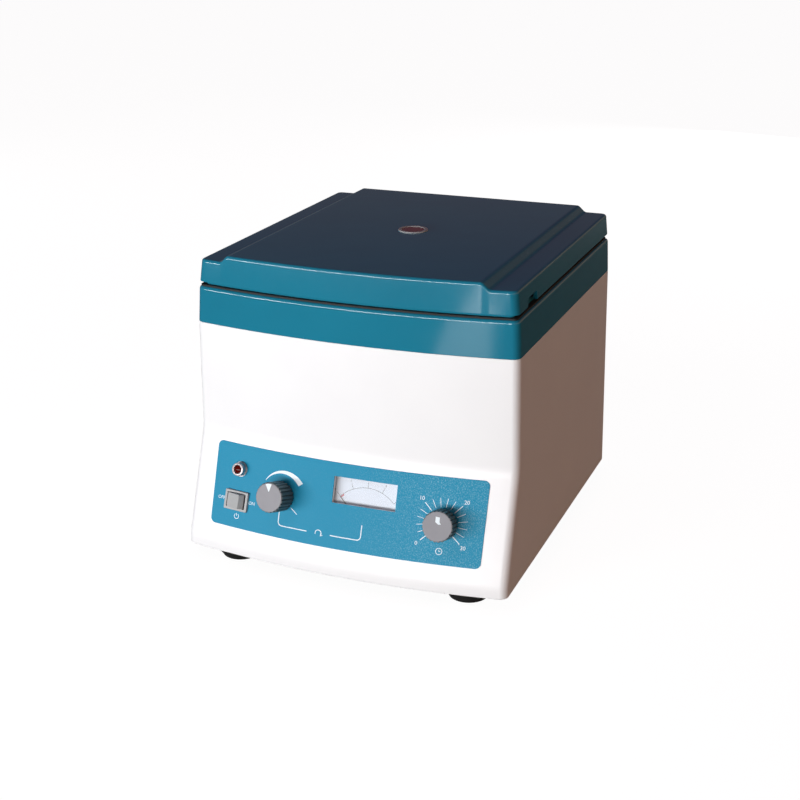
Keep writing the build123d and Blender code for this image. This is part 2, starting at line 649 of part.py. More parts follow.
def hinge_leaf(middles, length, low, high):
    """Hinge plates on the back, low to high, with a knuckle this long at each middle."""
    block(BACK, HINGE_LENGTH, high - low, 0, LEAF_T,
          [(-x, (low + high) / 2) for x, _ in HINGE_MIDDLES])
    for x, _ in middles:
        bar(HINGE_LINE, KNUCKLE_R, x - length / 2, x + length / 2)
        block(BACK, length, KNUCKLE_R, 0, HINGE_SET - HINGE_PIN_R,
              [(-x, HINGE_Z + (KNUCKLE_R / 2 if low > COVER_TOP else -KNUCKLE_R / 2))])


def clear_knuckles(middles, length):
    """Cut room for the other leaf's knuckles."""
    for x, _ in middles:
        bar(HINGE_LINE, KNUCKLE_R + 2 * FIT, x - length / 2 - FIT, x + length / 2 + FIT,
            mode=Mode.SUBTRACT)
    bar(HINGE_LINE, HINGE_PIN_R + RUN, -TOP_WIDTH / 2, TOP_WIDTH / 2, mode=Mode.SUBTRACT)


with BuildPart() as hinge_leaves_body:
    hinge_leaf(HINGE_ENDS, KNUCKLE_LENGTH, HINGE_Z - LEAF_HEIGHT, HINGE_Z)
    clear_knuckles(HINGE_MIDDLES, MIDDLE_KNUCKLE)
keep(hinge_leaves_body.part, "hinge_leaves_body")

with BuildPart() as hinge_leaves_lid:
    hinge_leaf(HINGE_MIDDLES, MIDDLE_KNUCKLE, LID_BASE, HINGE_Z + LEAF_HEIGHT - 2 * EDGE_R)
    clear_knuckles(HINGE_ENDS, KNUCKLE_LENGTH)
keep(hinge_leaves_lid.part, "hinge_leaves_lid")

with BuildPart() as hinge_pins:
    for x, _ in HINGE_MIDDLES:
        bar(HINGE_LINE, HINGE_PIN_R, x - HINGE_LENGTH / 2, x + HINGE_LENGTH / 2)
keep(hinge_pins.part, "hinge_pins")

# ================================================================ motor
with BuildPart() as motor_case:
    bar(TURN, MOTOR_R, MOTOR_BASE + END_CAP, MOTOR_TOP - END_CAP)
    bar(TURN, MOTOR_R - MOTOR_WALL, MOTOR_BASE + END_CAP, MOTOR_TOP - END_CAP, mode=Mode.SUBTRACT)
keep(motor_case.part, "motor_case")

# Cast end caps; the upper one has the flange that the motor hangs by.
with BuildPart() as motor_end_caps:
    bar(TURN, MOTOR_R, MOTOR_BASE, MOTOR_BASE + END_CAP)
    bar(TURN, MOTOR_R, MOTOR_TOP - END_CAP, MOTOR_TOP)
    bar(TURN, MOTOR_R + CAP_FLANGE, MOTOR_TOP - END_CAP, MOTOR_TOP - END_CAP + CAP_FLANGE_T)
    bar(TURN, BEARING_R + RUN, MOTOR_BASE + END_CAP - BEARING_WIDTH, MOTOR_BASE + END_CAP,
        mode=Mode.SUBTRACT)
    bar(TURN, BEARING_R + RUN, MOTOR_TOP - END_CAP, MOTOR_TOP - END_CAP + BEARING_WIDTH,
        mode=Mode.SUBTRACT)
    bar(TURN, SHAFT_R + 2 * FIT, MOTOR_BASE, MOTOR_TOP, mode=Mode.SUBTRACT)
keep(motor_end_caps.part, "motor_end_caps")

with BuildPart() as motor_bearings:
    bar(TURN, BEARING_R, MOTOR_BASE + END_CAP - BEARING_WIDTH, MOTOR_BASE + END_CAP)
    bar(TURN, BEARING_R, MOTOR_TOP - END_CAP, MOTOR_TOP - END_CAP + BEARING_WIDTH)
    bar(TURN, SHAFT_R + RUN, MOTOR_BASE, MOTOR_TOP, mode=Mode.SUBTRACT)
keep(motor_bearings.part, "motor_bearings")

with BuildPart() as field_coils:
    bar(TURN, MOTOR_R - MOTOR_WALL - RUN, MOTOR_MIDDLE - COIL_LENGTH / 2, MOTOR_MIDDLE + COIL_LENGTH / 2)
    bar(TURN, COIL_R, MOTOR_MIDDLE - COIL_LENGTH / 2, MOTOR_MIDDLE + COIL_LENGTH / 2,
        mode=Mode.SUBTRACT)
keep(field_coils.part, "field_coils")

# Three-legged plate that the motor's flange sits on.
with BuildPart() as motor_bracket:
    bar(TURN, MOTOR_R + CAP_FLANGE, BRACKET_BASE, BRACKET_BASE + BRACKET_T)
    with BuildSketch(TURN.offset(BRACKET_BASE)):
        for point in MOUNT_POINTS:
            with BuildLine():
                Line((0, 0), (point.X, point.Y))
            trace(line_width=2 * MOUNT_R)
    extrude(amount=BRACKET_T)
    bar(TURN, MOUNT_R, BRACKET_BASE, BRACKET_BASE + BRACKET_T, MOUNT_POINTS)
    bar(TURN, MOTOR_R + FIT, BRACKET_BASE, BRACKET_BASE + BRACKET_T, mode=Mode.SUBTRACT)
keep(motor_bracket.part, "motor_bracket")

with BuildPart() as vibration_mounts:
    bar(TURN, MOUNT_R, MOUNT_BASE, BRACKET_BASE, MOUNT_POINTS)
keep(vibration_mounts.part, "vibration_mounts")

with BuildPart() as motor_shaft:
    bar(TURN, SHAFT_R, MOTOR_BASE - SHAFT_TAIL, HUB_TOP + SHAFT_STUB)
keep(motor_shaft.part, "motor_shaft")

with BuildPart() as armature:
    bar(TURN, ARMATURE_R, MOTOR_MIDDLE - ARMATURE_LENGTH / 2, MOTOR_MIDDLE + ARMATURE_LENGTH / 2)
    bar(TURN, SHAFT_R + RUN, MOTOR_MIDDLE - ARMATURE_LENGTH / 2, MOTOR_MIDDLE + ARMATURE_LENGTH / 2,
        mode=Mode.SUBTRACT)
keep(armature.part, "armature")

# ================================================================ rotor
STATION_TURNS = [STATION_START + turn * 360 / STATIONS for turn in range(STATIONS)]

# Turned plate with a hub, a rim that stops the carriers' feet at rest, a rib that stops them
# upright, and two ears with pin holes at each station.
with BuildPart() as rotor_plate:
    bar(TURN, RIM_R, PLATE_BASE, PLATE_TOP + RIM_HEIGHT)
    bar(TURN, RIM_IN, PLATE_TOP, PLATE_TOP + RIM_HEIGHT, mode=Mode.SUBTRACT)
    bar(TURN, RIB_R, PLATE_TOP, PLATE_TOP + RIM_HEIGHT)
    bar(TURN, RIB_R - RIM_WALL, PLATE_TOP, PLATE_TOP + RIM_HEIGHT, mode=Mode.SUBTRACT)
    bar(TURN, HUB_R, PLATE_TOP, HUB_TOP)
    for turn in STATION_TURNS:
        with BuildSketch(turned(TURN, turn).offset(PLATE_TOP)):
            with Locations(*[(PIVOT_R, side * (EAR_START + EAR_END) / 2) for side in (-1, 1)]):
                Rectangle(EAR_WIDTH, EAR_WALL)
        extrude(amount=PIVOT_RISE)
        pin_line = Plane(
            origin=Vector(0, AXIS_Y, PIVOT_Z) + Vector(PIVOT_R, 0).rotate(Axis.Z, turn),
            x_dir=(0, 0, 1),
            z_dir=Vector(0, 1).rotate(Axis.Z, turn),
        )
        bar(pin_line, EAR_WIDTH / 2, EAR_START, EAR_END)
        bar(pin_line, EAR_WIDTH / 2, -EAR_END, -EAR_START)
        bar(pin_line, PIN_R + RUN, -EAR_END, EAR_END, mode=Mode.SUBTRACT)
    bar(TURN, SHAFT_R + RUN, PLATE_BASE, HUB_TOP, mode=Mode.SUBTRACT)
keep(rotor_plate.part, "rotor_plate")

with BuildPart() as rotor_knob:
    bar(TURN, ROTOR_KNOB_R, HUB_TOP, HUB_TOP + ROTOR_KNOB_HEIGHT)
    fillet(rotor_knob.edges().group_by(Axis.Z)[-1], ROTOR_KNOB_R / 4)
    bar(TURN, GRIP_R, HUB_TOP, HUB_TOP + ROTOR_KNOB_HEIGHT, ring(GRIPS, 0, ROTOR_KNOB_R + GRIP_R / 2),
        Mode.SUBTRACT)
    bar(TURN, SHAFT_R + RUN, HUB_TOP, HUB_TOP + SHAFT_STUB + FIT, mode=Mode.SUBTRACT)
keep(rotor_knob.part, "rotor_knob")

# One carrier, upright: x outwards from the pins, y along them, z up. The clip is bent from sheet.
LOCAL_UP = Plane.YZ          # x along the pins, y up, facing outwards
PINS = Plane(origin=(0, 0, 0), x_dir=(0, 0, 1), z_dir=(0, 1, 0))
with BuildPart() as slide_clip:
    clip_height = CLIP_HEAD - CLIP_FOOT
    clip_middle = [(0, (CLIP_HEAD + CLIP_FOOT) / 2)]
    block(LOCAL_UP, 2 * CLIP_HALF, clip_height, LIP_IN, CLIP_OUT, clip_middle)
    block(LOCAL_UP, 2 * (CLIP_HALF - CLIP_T), clip_height, LIP_IN, CLIP_IN,
          [(0, clip_middle[0][1] + CLIP_T)], Mode.SUBTRACT)
    for low, high in ((CLIP_FOOT, -FUNNEL_START + LIP_WIDTH), (FUNNEL_LENGTH / 2, CLIP_HEAD)):
        block(LOCAL_UP, 2 * CLIP_HALF, high - low, LIP_IN, LIP_IN + CLIP_T, [(0, (low + high) / 2)])
    block(LOCAL_UP, 2 * (CLIP_HALF - LIP_WIDTH), clip_height, LIP_IN, LIP_IN + CLIP_T,
          [(0, clip_middle[0][1] + CLIP_T)], Mode.SUBTRACT)
    with BuildSketch(LOCAL_UP.offset(CLIP_IN)):
        with Locations((0, SPOT_RISE)):
            RectangleRounded(SLIDE_WIDTH - 2 * LIP_WIDTH, SLIDE_WIDTH + LIP_WIDTH, CUP_R / 4)
    extrude(amount=CLIP_T, mode=Mode.SUBTRACT)
    for side in (-1, 1):
        near, far = sorted((side * (CLIP_HALF - CLIP_T), side * CLIP_HALF))
        bar(PINS, 2 * PIN_R, near, far)
        near, far = sorted((side * CLIP_HALF, side * (EAR_END + 2 * FIT)))
        bar(PINS, PIN_R, near, far)

with BuildPart() as glass_slide:
    block(LOCAL_UP, SLIDE_WIDTH, SLIDE_LENGTH, SLIDE_IN, CLIP_IN, [(0, SLIDE_LENGTH / 2 - SLIDE_DROP)])

with BuildPart() as filter_card:
    block(LOCAL_UP, SLIDE_WIDTH, CARD_LENGTH, CARD_IN, SLIDE_IN, [(0, CARD_LENGTH / 2 - SLIDE_DROP)])
    bar(LOCAL_UP, SPOT_R, CARD_IN, SLIDE_IN, [(0, SPOT_RISE)], Mode.SUBTRACT)

# Moulded funnel: flat plate, short spout and an upright cup that opens at the top.
CUP_SPOT = [(-CUP_REACH, 0)]
with BuildPart() as sample_funnel:
    block(LOCAL_UP, SLIDE_WIDTH - FIT, FUNNEL_LENGTH, 0, FUNNEL_T,
          [(0, FUNNEL_LENGTH / 2 - FUNNEL_START)])
    bar(LOCAL_UP, SPOUT_R, -CUP_REACH, 0, [(0, SPOT_RISE)])
    bar(BENCH, CUP_R, CUP_BASE, CUP_BASE + CUP_HEIGHT, CUP_SPOT)
    bar(BENCH, CUP_BORE_R, SPOT_RISE - SPOT_R, CUP_BASE + CUP_HEIGHT, CUP_SPOT, Mode.SUBTRACT)
    bar(LOCAL_UP, SPOT_R, -CUP_REACH, FUNNEL_T, [(0, SPOT_RISE)], Mode.SUBTRACT)

for number, turn in enumerate(STATION_TURNS, start=1):
    station = (
        Location((0, AXIS_Y, PIVOT_Z)) * Location((0, 0, 0), (0, 0, turn))
        * Location((PIVOT_R, 0, 0)) * Location((0, 0, 0), (0, -REST_TILT, 0))
    )
    keep(slide_clip.part.moved(station), f"slide_clip_{number}")
    keep(glass_slide.part.moved(station), f"glass_slide_{number}")
    keep(filter_card.part.moved(station), f"filter_card_{number}")
    keep(sample_funnel.part.moved(station), f"sample_funnel_{number}")

# ================================================================ front panel fittings
def outermost(piece, spot):
    """Edges of the piece's face that looks out of the panel."""
    return piece.faces().sort_by(Axis(spot.origin, spot.z_dir))[-1].edges()


with BuildPart() as lamp_bezel:
    bar(LAMP_SPOT, LAMP_R, PANEL_T, PANEL_T + LAMP_PROUD)
    chamfer(outermost(lamp_bezel, LAMP_SPOT), LAMP_RIM)
    bar(LAMP_SPOT, LAMP_R + LAMP_RIM, PANEL_T, PANEL_T + LAMP_RIM)
    bar(LAMP_SPOT, LAMP_BODY_R, -LAMP_DEPTH, PANEL_T)
    bar(LAMP_SPOT, LAMP_LENS_R + RUN, -LAMP_DEPTH / 2, PANEL_T + LAMP_PROUD, mode=Mode.SUBTRACT)
keep(lamp_bezel.part, "lamp_bezel")

with BuildPart() as lamp_lens:
    bar(LAMP_SPOT, LAMP_LENS_R, -LAMP_DEPTH / 2, PANEL_T + LAMP_PROUD)
    fillet(outermost(lamp_lens, LAMP_SPOT), LAMP_LENS_R / 2)
keep(lamp_lens.part, "lamp_lens")

# Snap-in rocker switch. The rocker turns on two nubs about the panel's up-slope line.
ROCKER_LINE = Plane(origin=SWITCH_SPOT.from_local_coords((0, 0, ROCKER_PIVOT)),
                    x_dir=SWITCH_SPOT.x_dir, z_dir=SWITCH_SPOT.y_dir)
with BuildPart() as switch_frame:
    block(SWITCH_SPOT, SWITCH_WIDTH, SWITCH_HEIGHT, PANEL_T, PANEL_T + SWITCH_FLANGE)
    chamfer(outermost(switch_frame, SWITCH_SPOT), SWITCH_FLANGE / 3)
    block(SWITCH_SPOT, SWITCH_BODY_WIDTH, SWITCH_BODY_HEIGHT, -SWITCH_DEPTH, PANEL_T)
    block(SWITCH_SPOT, ROCKER_POCKET, ROCKER_HEIGHT + 2 * FIT, ROCKER_PIVOT - ROCKER_DROP - 3 * FIT,
          PANEL_T + SWITCH_FLANGE, mode=Mode.SUBTRACT)
    bar(ROCKER_LINE, ROCKER_PIN_R + RUN, -SWITCH_BODY_HEIGHT / 2, SWITCH_BODY_HEIGHT / 2,
        mode=Mode.SUBTRACT)
keep(switch_frame.part, "switch_frame")

with BuildPart() as switch_rocker:
    pressed = turned(ROCKER_LINE, -ROCKER_TILT)
    crown = ROCKER_CROWN - ROCKER_PIVOT
    with BuildSketch(pressed.offset(-ROCKER_HEIGHT / 2)):
        with BuildLine():
            Polyline(
                (-ROCKER_FACE / 2, -crown),
                (ROCKER_FACE / 2, -crown),
                (ROCKER_WIDTH / 2, 0),
                (ROCKER_WIDTH / 5, ROCKER_DROP),
                (-ROCKER_WIDTH / 5, ROCKER_DROP),
                (-ROCKER_WIDTH / 2, 0),
                close=True,
            )
        make_face()
    extrude(amount=ROCKER_HEIGHT)
    nub = (SWITCH_BODY_HEIGHT - ROCKER_HEIGHT) / 4
    bar(ROCKER_LINE, ROCKER_PIN_R, -ROCKER_HEIGHT / 2 - nub, ROCKER_HEIGHT / 2 + nub)
keep(switch_rocker.part, "switch_rocker")


def fluted_knob(spot, top):
    """Add a knob with a fluted side, a raised round face and a recess over the nut."""
    bar(spot, KNOB_R, KNOB_LIFT + PANEL_T, top - FLUTE_R)
    bar(spot, FLUTE_R, KNOB_LIFT + PANEL_T, top - FLUTE_R, ring(FLUTES, 0, KNOB_R), Mode.SUBTRACT)
    bar(spot, KNOB_R - FLUTE_R, top - 2 * FLUTE_R, top)
    bar(spot, KNOB_RECESS_R, KNOB_LIFT + PANEL_T, KNOB_LIFT + KNOB_RECESS, mode=Mode.SUBTRACT)
    bar(spot, SPINDLE_R + RUN, KNOB_LIFT, top - KNOB_FACE_T, mode=Mode.SUBTRACT)


with BuildPart() as speed_knob:
    fluted_knob(SPEED_SPOT, SPEED_KNOB_TOP)
keep(speed_knob.part, "speed_knob")

with BuildPart() as timer_knob:
    fluted_knob(TIMER_SPOT, TIMER_KNOB_TOP)
keep(timer_knob.part, "timer_knob")

SPEED_SEAT = seat_depth(SPEED_CONTROL_R)
TIMER_SEAT = seat_depth(TIMER_BODY_WIDTH / 2)
METER_SEAT = seat_depth(METER_CASE_WIDTH / 2)
BUSH_TOP = PANEL_T + NUT_T

with BuildPart() as speed_control:
    bar(SPEED_SPOT, SPEED_CONTROL_R, -SPEED_SEAT - SPEED_CONTROL_DEPTH, -SPEED_SEAT)
    bar(SPEED_SPOT, BUSH_R, -SPEED_SEAT, BUSH_TOP)
    bar(SPEED_SPOT, SPINDLE_R + RUN, -SPEED_SEAT - SPEED_CONTROL_DEPTH / 2, BUSH_TOP, mode=Mode.SUBTRACT)
keep(speed_control.part, "speed_control")

# Clockwork timer with a bell, in a square case.
with BuildPart() as timer_body:
    block(TIMER_SPOT, TIMER_BODY_WIDTH, TIMER_BODY_WIDTH, -TIMER_SEAT - TIMER_BODY_DEPTH, -TIMER_SEAT)
    bar(TIMER_SPOT, BUSH_R, -TIMER_SEAT, BUSH_TOP)
    bar(TIMER_SPOT, SPINDLE_R + RUN, -TIMER_SEAT - TIMER_BODY_DEPTH / 2, BUSH_TOP, mode=Mode.SUBTRACT)
keep(timer_body.part, "timer_body")

with BuildPart() as speed_spindle:
    bar(SPEED_SPOT, SPINDLE_R, FIT - SPEED_SEAT - SPEED_CONTROL_DEPTH / 2, SPEED_KNOB_TOP - KNOB_FACE_T)
keep(speed_spindle.part, "speed_spindle")

with BuildPart() as timer_spindle:
    bar(TIMER_SPOT, SPINDLE_R, FIT - TIMER_SEAT - TIMER_BODY_DEPTH / 2, TIMER_KNOB_TOP - KNOB_FACE_T)
keep(timer_spindle.part, "timer_spindle")

with BuildPart() as control_nuts:
    for spot in (SPEED_SPOT, TIMER_SPOT):
        with BuildSketch(spot.offset(PANEL_T)):
            RegularPolygon(NUT_ACROSS, 6, major_radius=False)
            Circle(BUSH_R, mode=Mode.SUBTRACT)
        extrude(amount=NUT_T)
keep(control_nuts.part, "control_nuts")

# Moving-coil speed meter: case behind the wall, pane in its mouth, dial and needle behind the pane.
CASE_HEIGHT = METER_CASE_TOP + METER_CASE_FOOT
CASE_SPOT = [(0, (METER_CASE_TOP - METER_CASE_FOOT) / 2)]
DIAL_TOP = -METER_SEAT - METER_PANE - DIAL_SINK
PIVOT_SPOT = [(0, -METER_PIVOT)]
with BuildPart() as meter_case:
    block(METER_SPOT, METER_CASE_WIDTH, CASE_HEIGHT, -METER_SEAT - METER_CASE_DEPTH, -METER_SEAT, CASE_SPOT)
    block(METER_SPOT, METER_CASE_WIDTH - 2 * METER_WALL, CASE_HEIGHT - 2 * METER_WALL,
          -METER_SEAT - METER_CASE_DEPTH + METER_WALL, -METER_SEAT, CASE_SPOT, Mode.SUBTRACT)
    ledge = METER_WALL + DIAL_T
    block(METER_SPOT, METER_CASE_WIDTH, CASE_HEIGHT, DIAL_TOP - DIAL_T - METER_WALL, DIAL_TOP - DIAL_T,
          CASE_SPOT)
    block(METER_SPOT, METER_CASE_WIDTH - 2 * ledge, CASE_HEIGHT - 2 * ledge,
          DIAL_TOP - DIAL_T - METER_WALL, DIAL_TOP - DIAL_T, CASE_SPOT, Mode.SUBTRACT)
keep(meter_case.part, "meter_case")

with BuildPart() as meter_window:
    block(METER_SPOT, METER_CASE_WIDTH - 2 * METER_WALL, CASE_HEIGHT - 2 * METER_WALL,
          -METER_SEAT - METER_PANE, -METER_SEAT, CASE_SPOT)
keep(meter_window.part, "meter_window")

with BuildPart() as meter_dial:
    block(METER_SPOT, METER_CASE_WIDTH - 2 * METER_WALL, CASE_HEIGHT - 2 * METER_WALL,
          DIAL_TOP - DIAL_T, DIAL_TOP, CASE_SPOT)
    bar(METER_SPOT, NEEDLE_SPINDLE_R + FIT, DIAL_TOP - DIAL_T, DIAL_TOP, PIVOT_SPOT, Mode.SUBTRACT)
keep(meter_dial.part, "meter_dial")

with BuildPart() as meter_movement:
    block(METER_SPOT, MOVEMENT_WIDTH, MOVEMENT_HEIGHT, DIAL_TOP - DIAL_T - MOVEMENT_DEPTH,
          DIAL_TOP - DIAL_T, [(0, METER_WALL * 2 + MOVEMENT_HEIGHT / 2 - METER_CASE_FOOT)])
    bar(METER_SPOT, NEEDLE_SPINDLE_R + RUN, DIAL_TOP - DIAL_T - MOVEMENT_DEPTH / 2, DIAL_TOP - DIAL_T,
        PIVOT_SPOT, Mode.SUBTRACT)
keep(meter_movement.part, "meter_movement")

with BuildPart() as meter_needle:
    needle_base = DIAL_TOP + FIT
    pivot = Plane(origin=METER_SPOT.from_local_coords((0, -METER_PIVOT, 0)),
                  x_dir=METER_SPOT.x_dir, z_dir=METER_SPOT.z_dir)
    leaning = turned(pivot, NEEDLE_ANGLE)
    block(leaning, NEEDLE_WIDTH, METER_ARC_R + NEEDLE_TAIL, needle_base, needle_base + NEEDLE_T,
          [(0, (METER_ARC_R - NEEDLE_TAIL) / 2)])
    bar(leaning, NEEDLE_HUB_R, needle_base, needle_base + NEEDLE_T)
    bar(leaning, NEEDLE_SPINDLE_R, FIT + DIAL_TOP - DIAL_T - MOVEMENT_DEPTH / 2, needle_base)
keep(meter_needle.part, "meter_needle")

# ================================================================ back panel fittings
INLET_SPOT = [(-INLET_X, BODY_BASE + INLET_RISE)]
FUSE_SPOT = [(-FUSE_X, BODY_BASE + INLET_RISE)]
with BuildPart() as power_inlet:
    block(BACK, INLET_FLANGE_WIDTH, INLET_FLANGE_HEIGHT, 0, INLET_FLANGE_T, INLET_SPOT)
    block(BACK, INLET_WIDTH, INLET_HEIGHT, -INLET_DEPTH, 0, INLET_SPOT)
    block(BACK, SOCKET_WIDTH, SOCKET_HEIGHT, INLET_FLANGE_T - SOCKET_DEPTH, INLET_FLANGE_T, INLET_SPOT,
          Mode.SUBTRACT)
    prongs = [
        (-INLET_X + across, BODY_BASE + INLET_RISE + up)
        for across, up in ((-PRONG_SPREAD, 0), (PRONG_SPREAD, 0), (0, EARTH_RISE))
    ]
    block(BACK, PRONG_WIDTH, PRONG_HEIGHT, INLET_FLANGE_T - SOCKET_DEPTH,
          INLET_FLANGE_T - SOCKET_DEPTH + PRONG_LENGTH, prongs)
keep(power_inlet.part, "power_inlet")

with BuildPart() as fuse_holder:
    bar(BACK, FUSE_FLANGE_R, 0, FUSE_FLANGE_T, FUSE_SPOT)
    bar(BACK, FUSE_R, -FUSE_DEPTH, 0, FUSE_SPOT)
    bar(BACK, FUSE_CAP_R, FUSE_FLANGE_T, FUSE_FLANGE_T + FUSE_CAP_PROUD, FUSE_SPOT)
keep(fuse_holder.part, "fuse_holder")

# Speed board on four spacers, with its transformer, capacitor and heat sink.
BOARD = Plane(origin=(BOARD_X, AXIS_Y + BOARD_SET, BASE_TOP))
BOARD_TOP = SPACER_HEIGHT + BOARD_T
with BuildPart() as control_board:
    block(BOARD, BOARD_WIDTH, BOARD_DEPTH, SPACER_HEIGHT, BOARD_TOP)
    bar(BOARD, SPACER_R, 0, SPACER_HEIGHT, [
        (x * (BOARD_WIDTH / 2 - SPACER_R - 1), y * (BOARD_DEPTH / 2 - SPACER_R - 1))
        for x in (-1, 1) for y in (-1, 1)
    ])
    block(BOARD, TRANSFORMER, TRANSFORMER, BOARD_TOP, BOARD_TOP + TRANSFORMER_HEIGHT, [(TRANSFORMER_X, 0)])
    bar(BOARD, CAPACITOR_R, BOARD_TOP, BOARD_TOP + CAPACITOR_HEIGHT, [(CAPACITOR_X, CAPACITOR_Y)])
    for fin in range(SINK_FINS):
        block(BOARD, SINK_WIDTH, FIN_T, BOARD_TOP, BOARD_TOP + SINK_HEIGHT,
              [(SINK_X, SINK_Y + fin * FIN_PITCH)])
keep(control_board.part, "control_board")
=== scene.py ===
import json
from math import atan2, cos, pi, radians, sin, sqrt, tan

import bmesh
import bpy
from mathutils import Matrix, Vector

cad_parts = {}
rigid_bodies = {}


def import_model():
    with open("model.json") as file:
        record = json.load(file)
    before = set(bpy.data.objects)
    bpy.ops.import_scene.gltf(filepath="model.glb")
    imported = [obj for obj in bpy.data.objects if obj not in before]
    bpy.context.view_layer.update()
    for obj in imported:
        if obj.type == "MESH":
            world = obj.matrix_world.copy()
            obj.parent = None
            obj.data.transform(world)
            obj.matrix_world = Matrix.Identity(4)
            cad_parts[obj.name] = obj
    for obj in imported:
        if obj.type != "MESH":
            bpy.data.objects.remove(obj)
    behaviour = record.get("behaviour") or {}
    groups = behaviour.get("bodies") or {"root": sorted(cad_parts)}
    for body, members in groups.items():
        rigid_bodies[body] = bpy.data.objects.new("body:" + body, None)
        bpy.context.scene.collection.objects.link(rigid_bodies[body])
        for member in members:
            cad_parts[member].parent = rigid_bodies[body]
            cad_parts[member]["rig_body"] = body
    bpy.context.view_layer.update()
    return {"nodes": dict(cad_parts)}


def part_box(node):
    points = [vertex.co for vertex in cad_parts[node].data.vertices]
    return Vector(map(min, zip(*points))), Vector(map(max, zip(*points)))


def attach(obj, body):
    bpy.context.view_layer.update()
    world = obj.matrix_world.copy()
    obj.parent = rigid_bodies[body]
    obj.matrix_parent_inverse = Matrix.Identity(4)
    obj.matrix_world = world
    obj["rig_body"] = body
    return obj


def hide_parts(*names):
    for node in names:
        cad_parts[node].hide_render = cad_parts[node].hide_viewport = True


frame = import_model()


# -------- base tray
# Shallow tray of zinc-plated sheet steel with three welded posts. It closes the housing's bottom
# and is held by a screw in each corner.
MM = 0.001  # one millimetre in scene units
TONE_A, TONE_B, TONE_OUT = 6, 7, 2  # a Mix node's sockets for colours


def linear(hex_colour):
    """The shaders' linear colour for an sRGB hex value."""
    channels = [int(hex_colour[start:start + 2], 16) / 255 for start in (1, 3, 5)]
    return [c / 12.92 if c <= 0.04045 else ((c + 0.055) / 1.055) ** 2.4 for c in channels] + [1]


def add(tree, kind, inputs=None, **settings):
    """Add a shader node with its settings; an input is a value, an output or a node, which gives
    its first output."""
    made = tree.nodes.new("ShaderNode" + kind)
    for setting, value in settings.items():
        setattr(made, setting, value)
    for socket, value in (inputs or {}).items():
        if isinstance(value, bpy.types.Node):
            value = value.outputs[0]
        if isinstance(value, bpy.types.NodeSocket):
            tree.links.new(value, made.inputs[socket])
        else:
            made.inputs[socket].default_value = value
    return made


def new_finish(name, colour, **shader_values):
    """A material of one Principled shader; a space in a socket's name is written as _."""
    finish = bpy.data.materials.new(name + "_finish")
    finish["slot"] = name
    finish.use_nodes = True
    shader = finish.node_tree.nodes["Principled BSDF"]
    shader.inputs["Base Color"].default_value = linear(colour)
    for socket, value in shader_values.items():
        shader.inputs[socket.replace("_", " ")].default_value = value
    add(finish.node_tree, "TexCoord", name="place")
    return finish


def nodes_of(finish):
    """A finish's node tree, its shader and its object coordinates."""
    tree = finish.node_tree
    return tree, tree.nodes["Principled BSDF"], tree.nodes["place"].outputs["Object"]


def per_grain(size):
    """Texture scale whose pattern repeats about every size millimetres."""
    return 1 / (size * MM)


def mottle(finish, light, dark, size, detail=3.0):
    """Blend the base colour between two close tones in patches of this size in millimetres."""
    tree, shader, place = nodes_of(finish)
    patches = add(tree, "TexNoise", {"Vector": place, "Scale": per_grain(size), "Detail": detail})
    tones = add(tree, "Mix",
                {"Factor": patches, TONE_A: linear(dark), TONE_B: linear(light)},
                data_type="RGBA")
    tree.links.new(tones.outputs[TONE_OUT], shader.inputs["Base Color"])


def vary_gloss(finish, low, high, size):
    """Let the roughness drift between two values in patches of this size in millimetres."""
    tree, shader, place = nodes_of(finish)
    patches = add(tree, "TexNoise", {"Vector": place, "Scale": per_grain(size), "Detail": 4.0})
    gloss = add(tree, "MapRange", {"Value": patches, "To Min": low, "To Max": high})
    tree.links.new(gloss.outputs["Result"], shader.inputs["Roughness"])


def raise_pattern(finish, pattern, height, strength=1.0):
    """Bump of a texture node's pattern, this many millimetres high."""
    tree, shader, _ = nodes_of(finish)
    bump = add(tree, "Bump", {"Height": pattern.outputs["Fac"], "Distance": height * MM,
                              "Strength": strength})
    tree.links.new(bump.outputs["Normal"], shader.inputs["Normal"])


def raise_grain(finish, size, height, stretch=(1, 1, 1), detail=2.0):
    """Bump of noise: grains this many millimetres wide and high, stretched along an axis."""
    tree, _, place = nodes_of(finish)
    spread = add(tree, "Mapping", {"Vector": place, "Scale": stretch})
    grain = add(tree, "TexNoise", {"Vector": spread, "Scale": per_grain(size), "Detail": detail})
    raise_pattern(finish, grain, height)


# Zinc plate over rolled steel: a grey metal with faint cloudy patches a few millimetres wide.
zinc_steel = new_finish("zinc_steel", "#b4b7b8", Metallic=1.0)
mottle(zinc_steel, "#bcbfc0", "#a3a7aa", 9.0)
vary_gloss(zinc_steel, 0.28, 0.46, 5.0)
raise_grain(zinc_steel, 0.8, 0.02, stretch=(1, 12, 1))


def dress(finish, *nodes):
    """Give CAD nodes a finish, shapes as they are."""
    for node in nodes:
        mesh = frame["nodes"][node].data
        mesh.materials.clear()
        mesh.materials.append(finish)


dress(zinc_steel, "base_plate")


# -------- rubber feet
# Four moulded rubber feet, wider at the top, with a sunk screw up the middle. They grip the bench
# and keep the spinning rotor's hum out of it.
def in_mm(corners):
    """A box's corners in millimetres."""
    return [Vector(corner) / MM for corner in corners]


# Moulded rubber: black and matt, with a fine grain that catches no sharp glint.
black_rubber = new_finish("black_rubber", "#151515", Roughness=0.7)
mottle(black_rubber, "#1b1b1b", "#0f0f10", 6.0)
vary_gloss(black_rubber, 0.55, 0.8, 3.0)
raise_grain(black_rubber, 0.5, 0.03)


def face_out(form):
    """Turn a form's faces outwards."""
    bmesh.ops.recalc_face_normals(form, faces=form.faces)


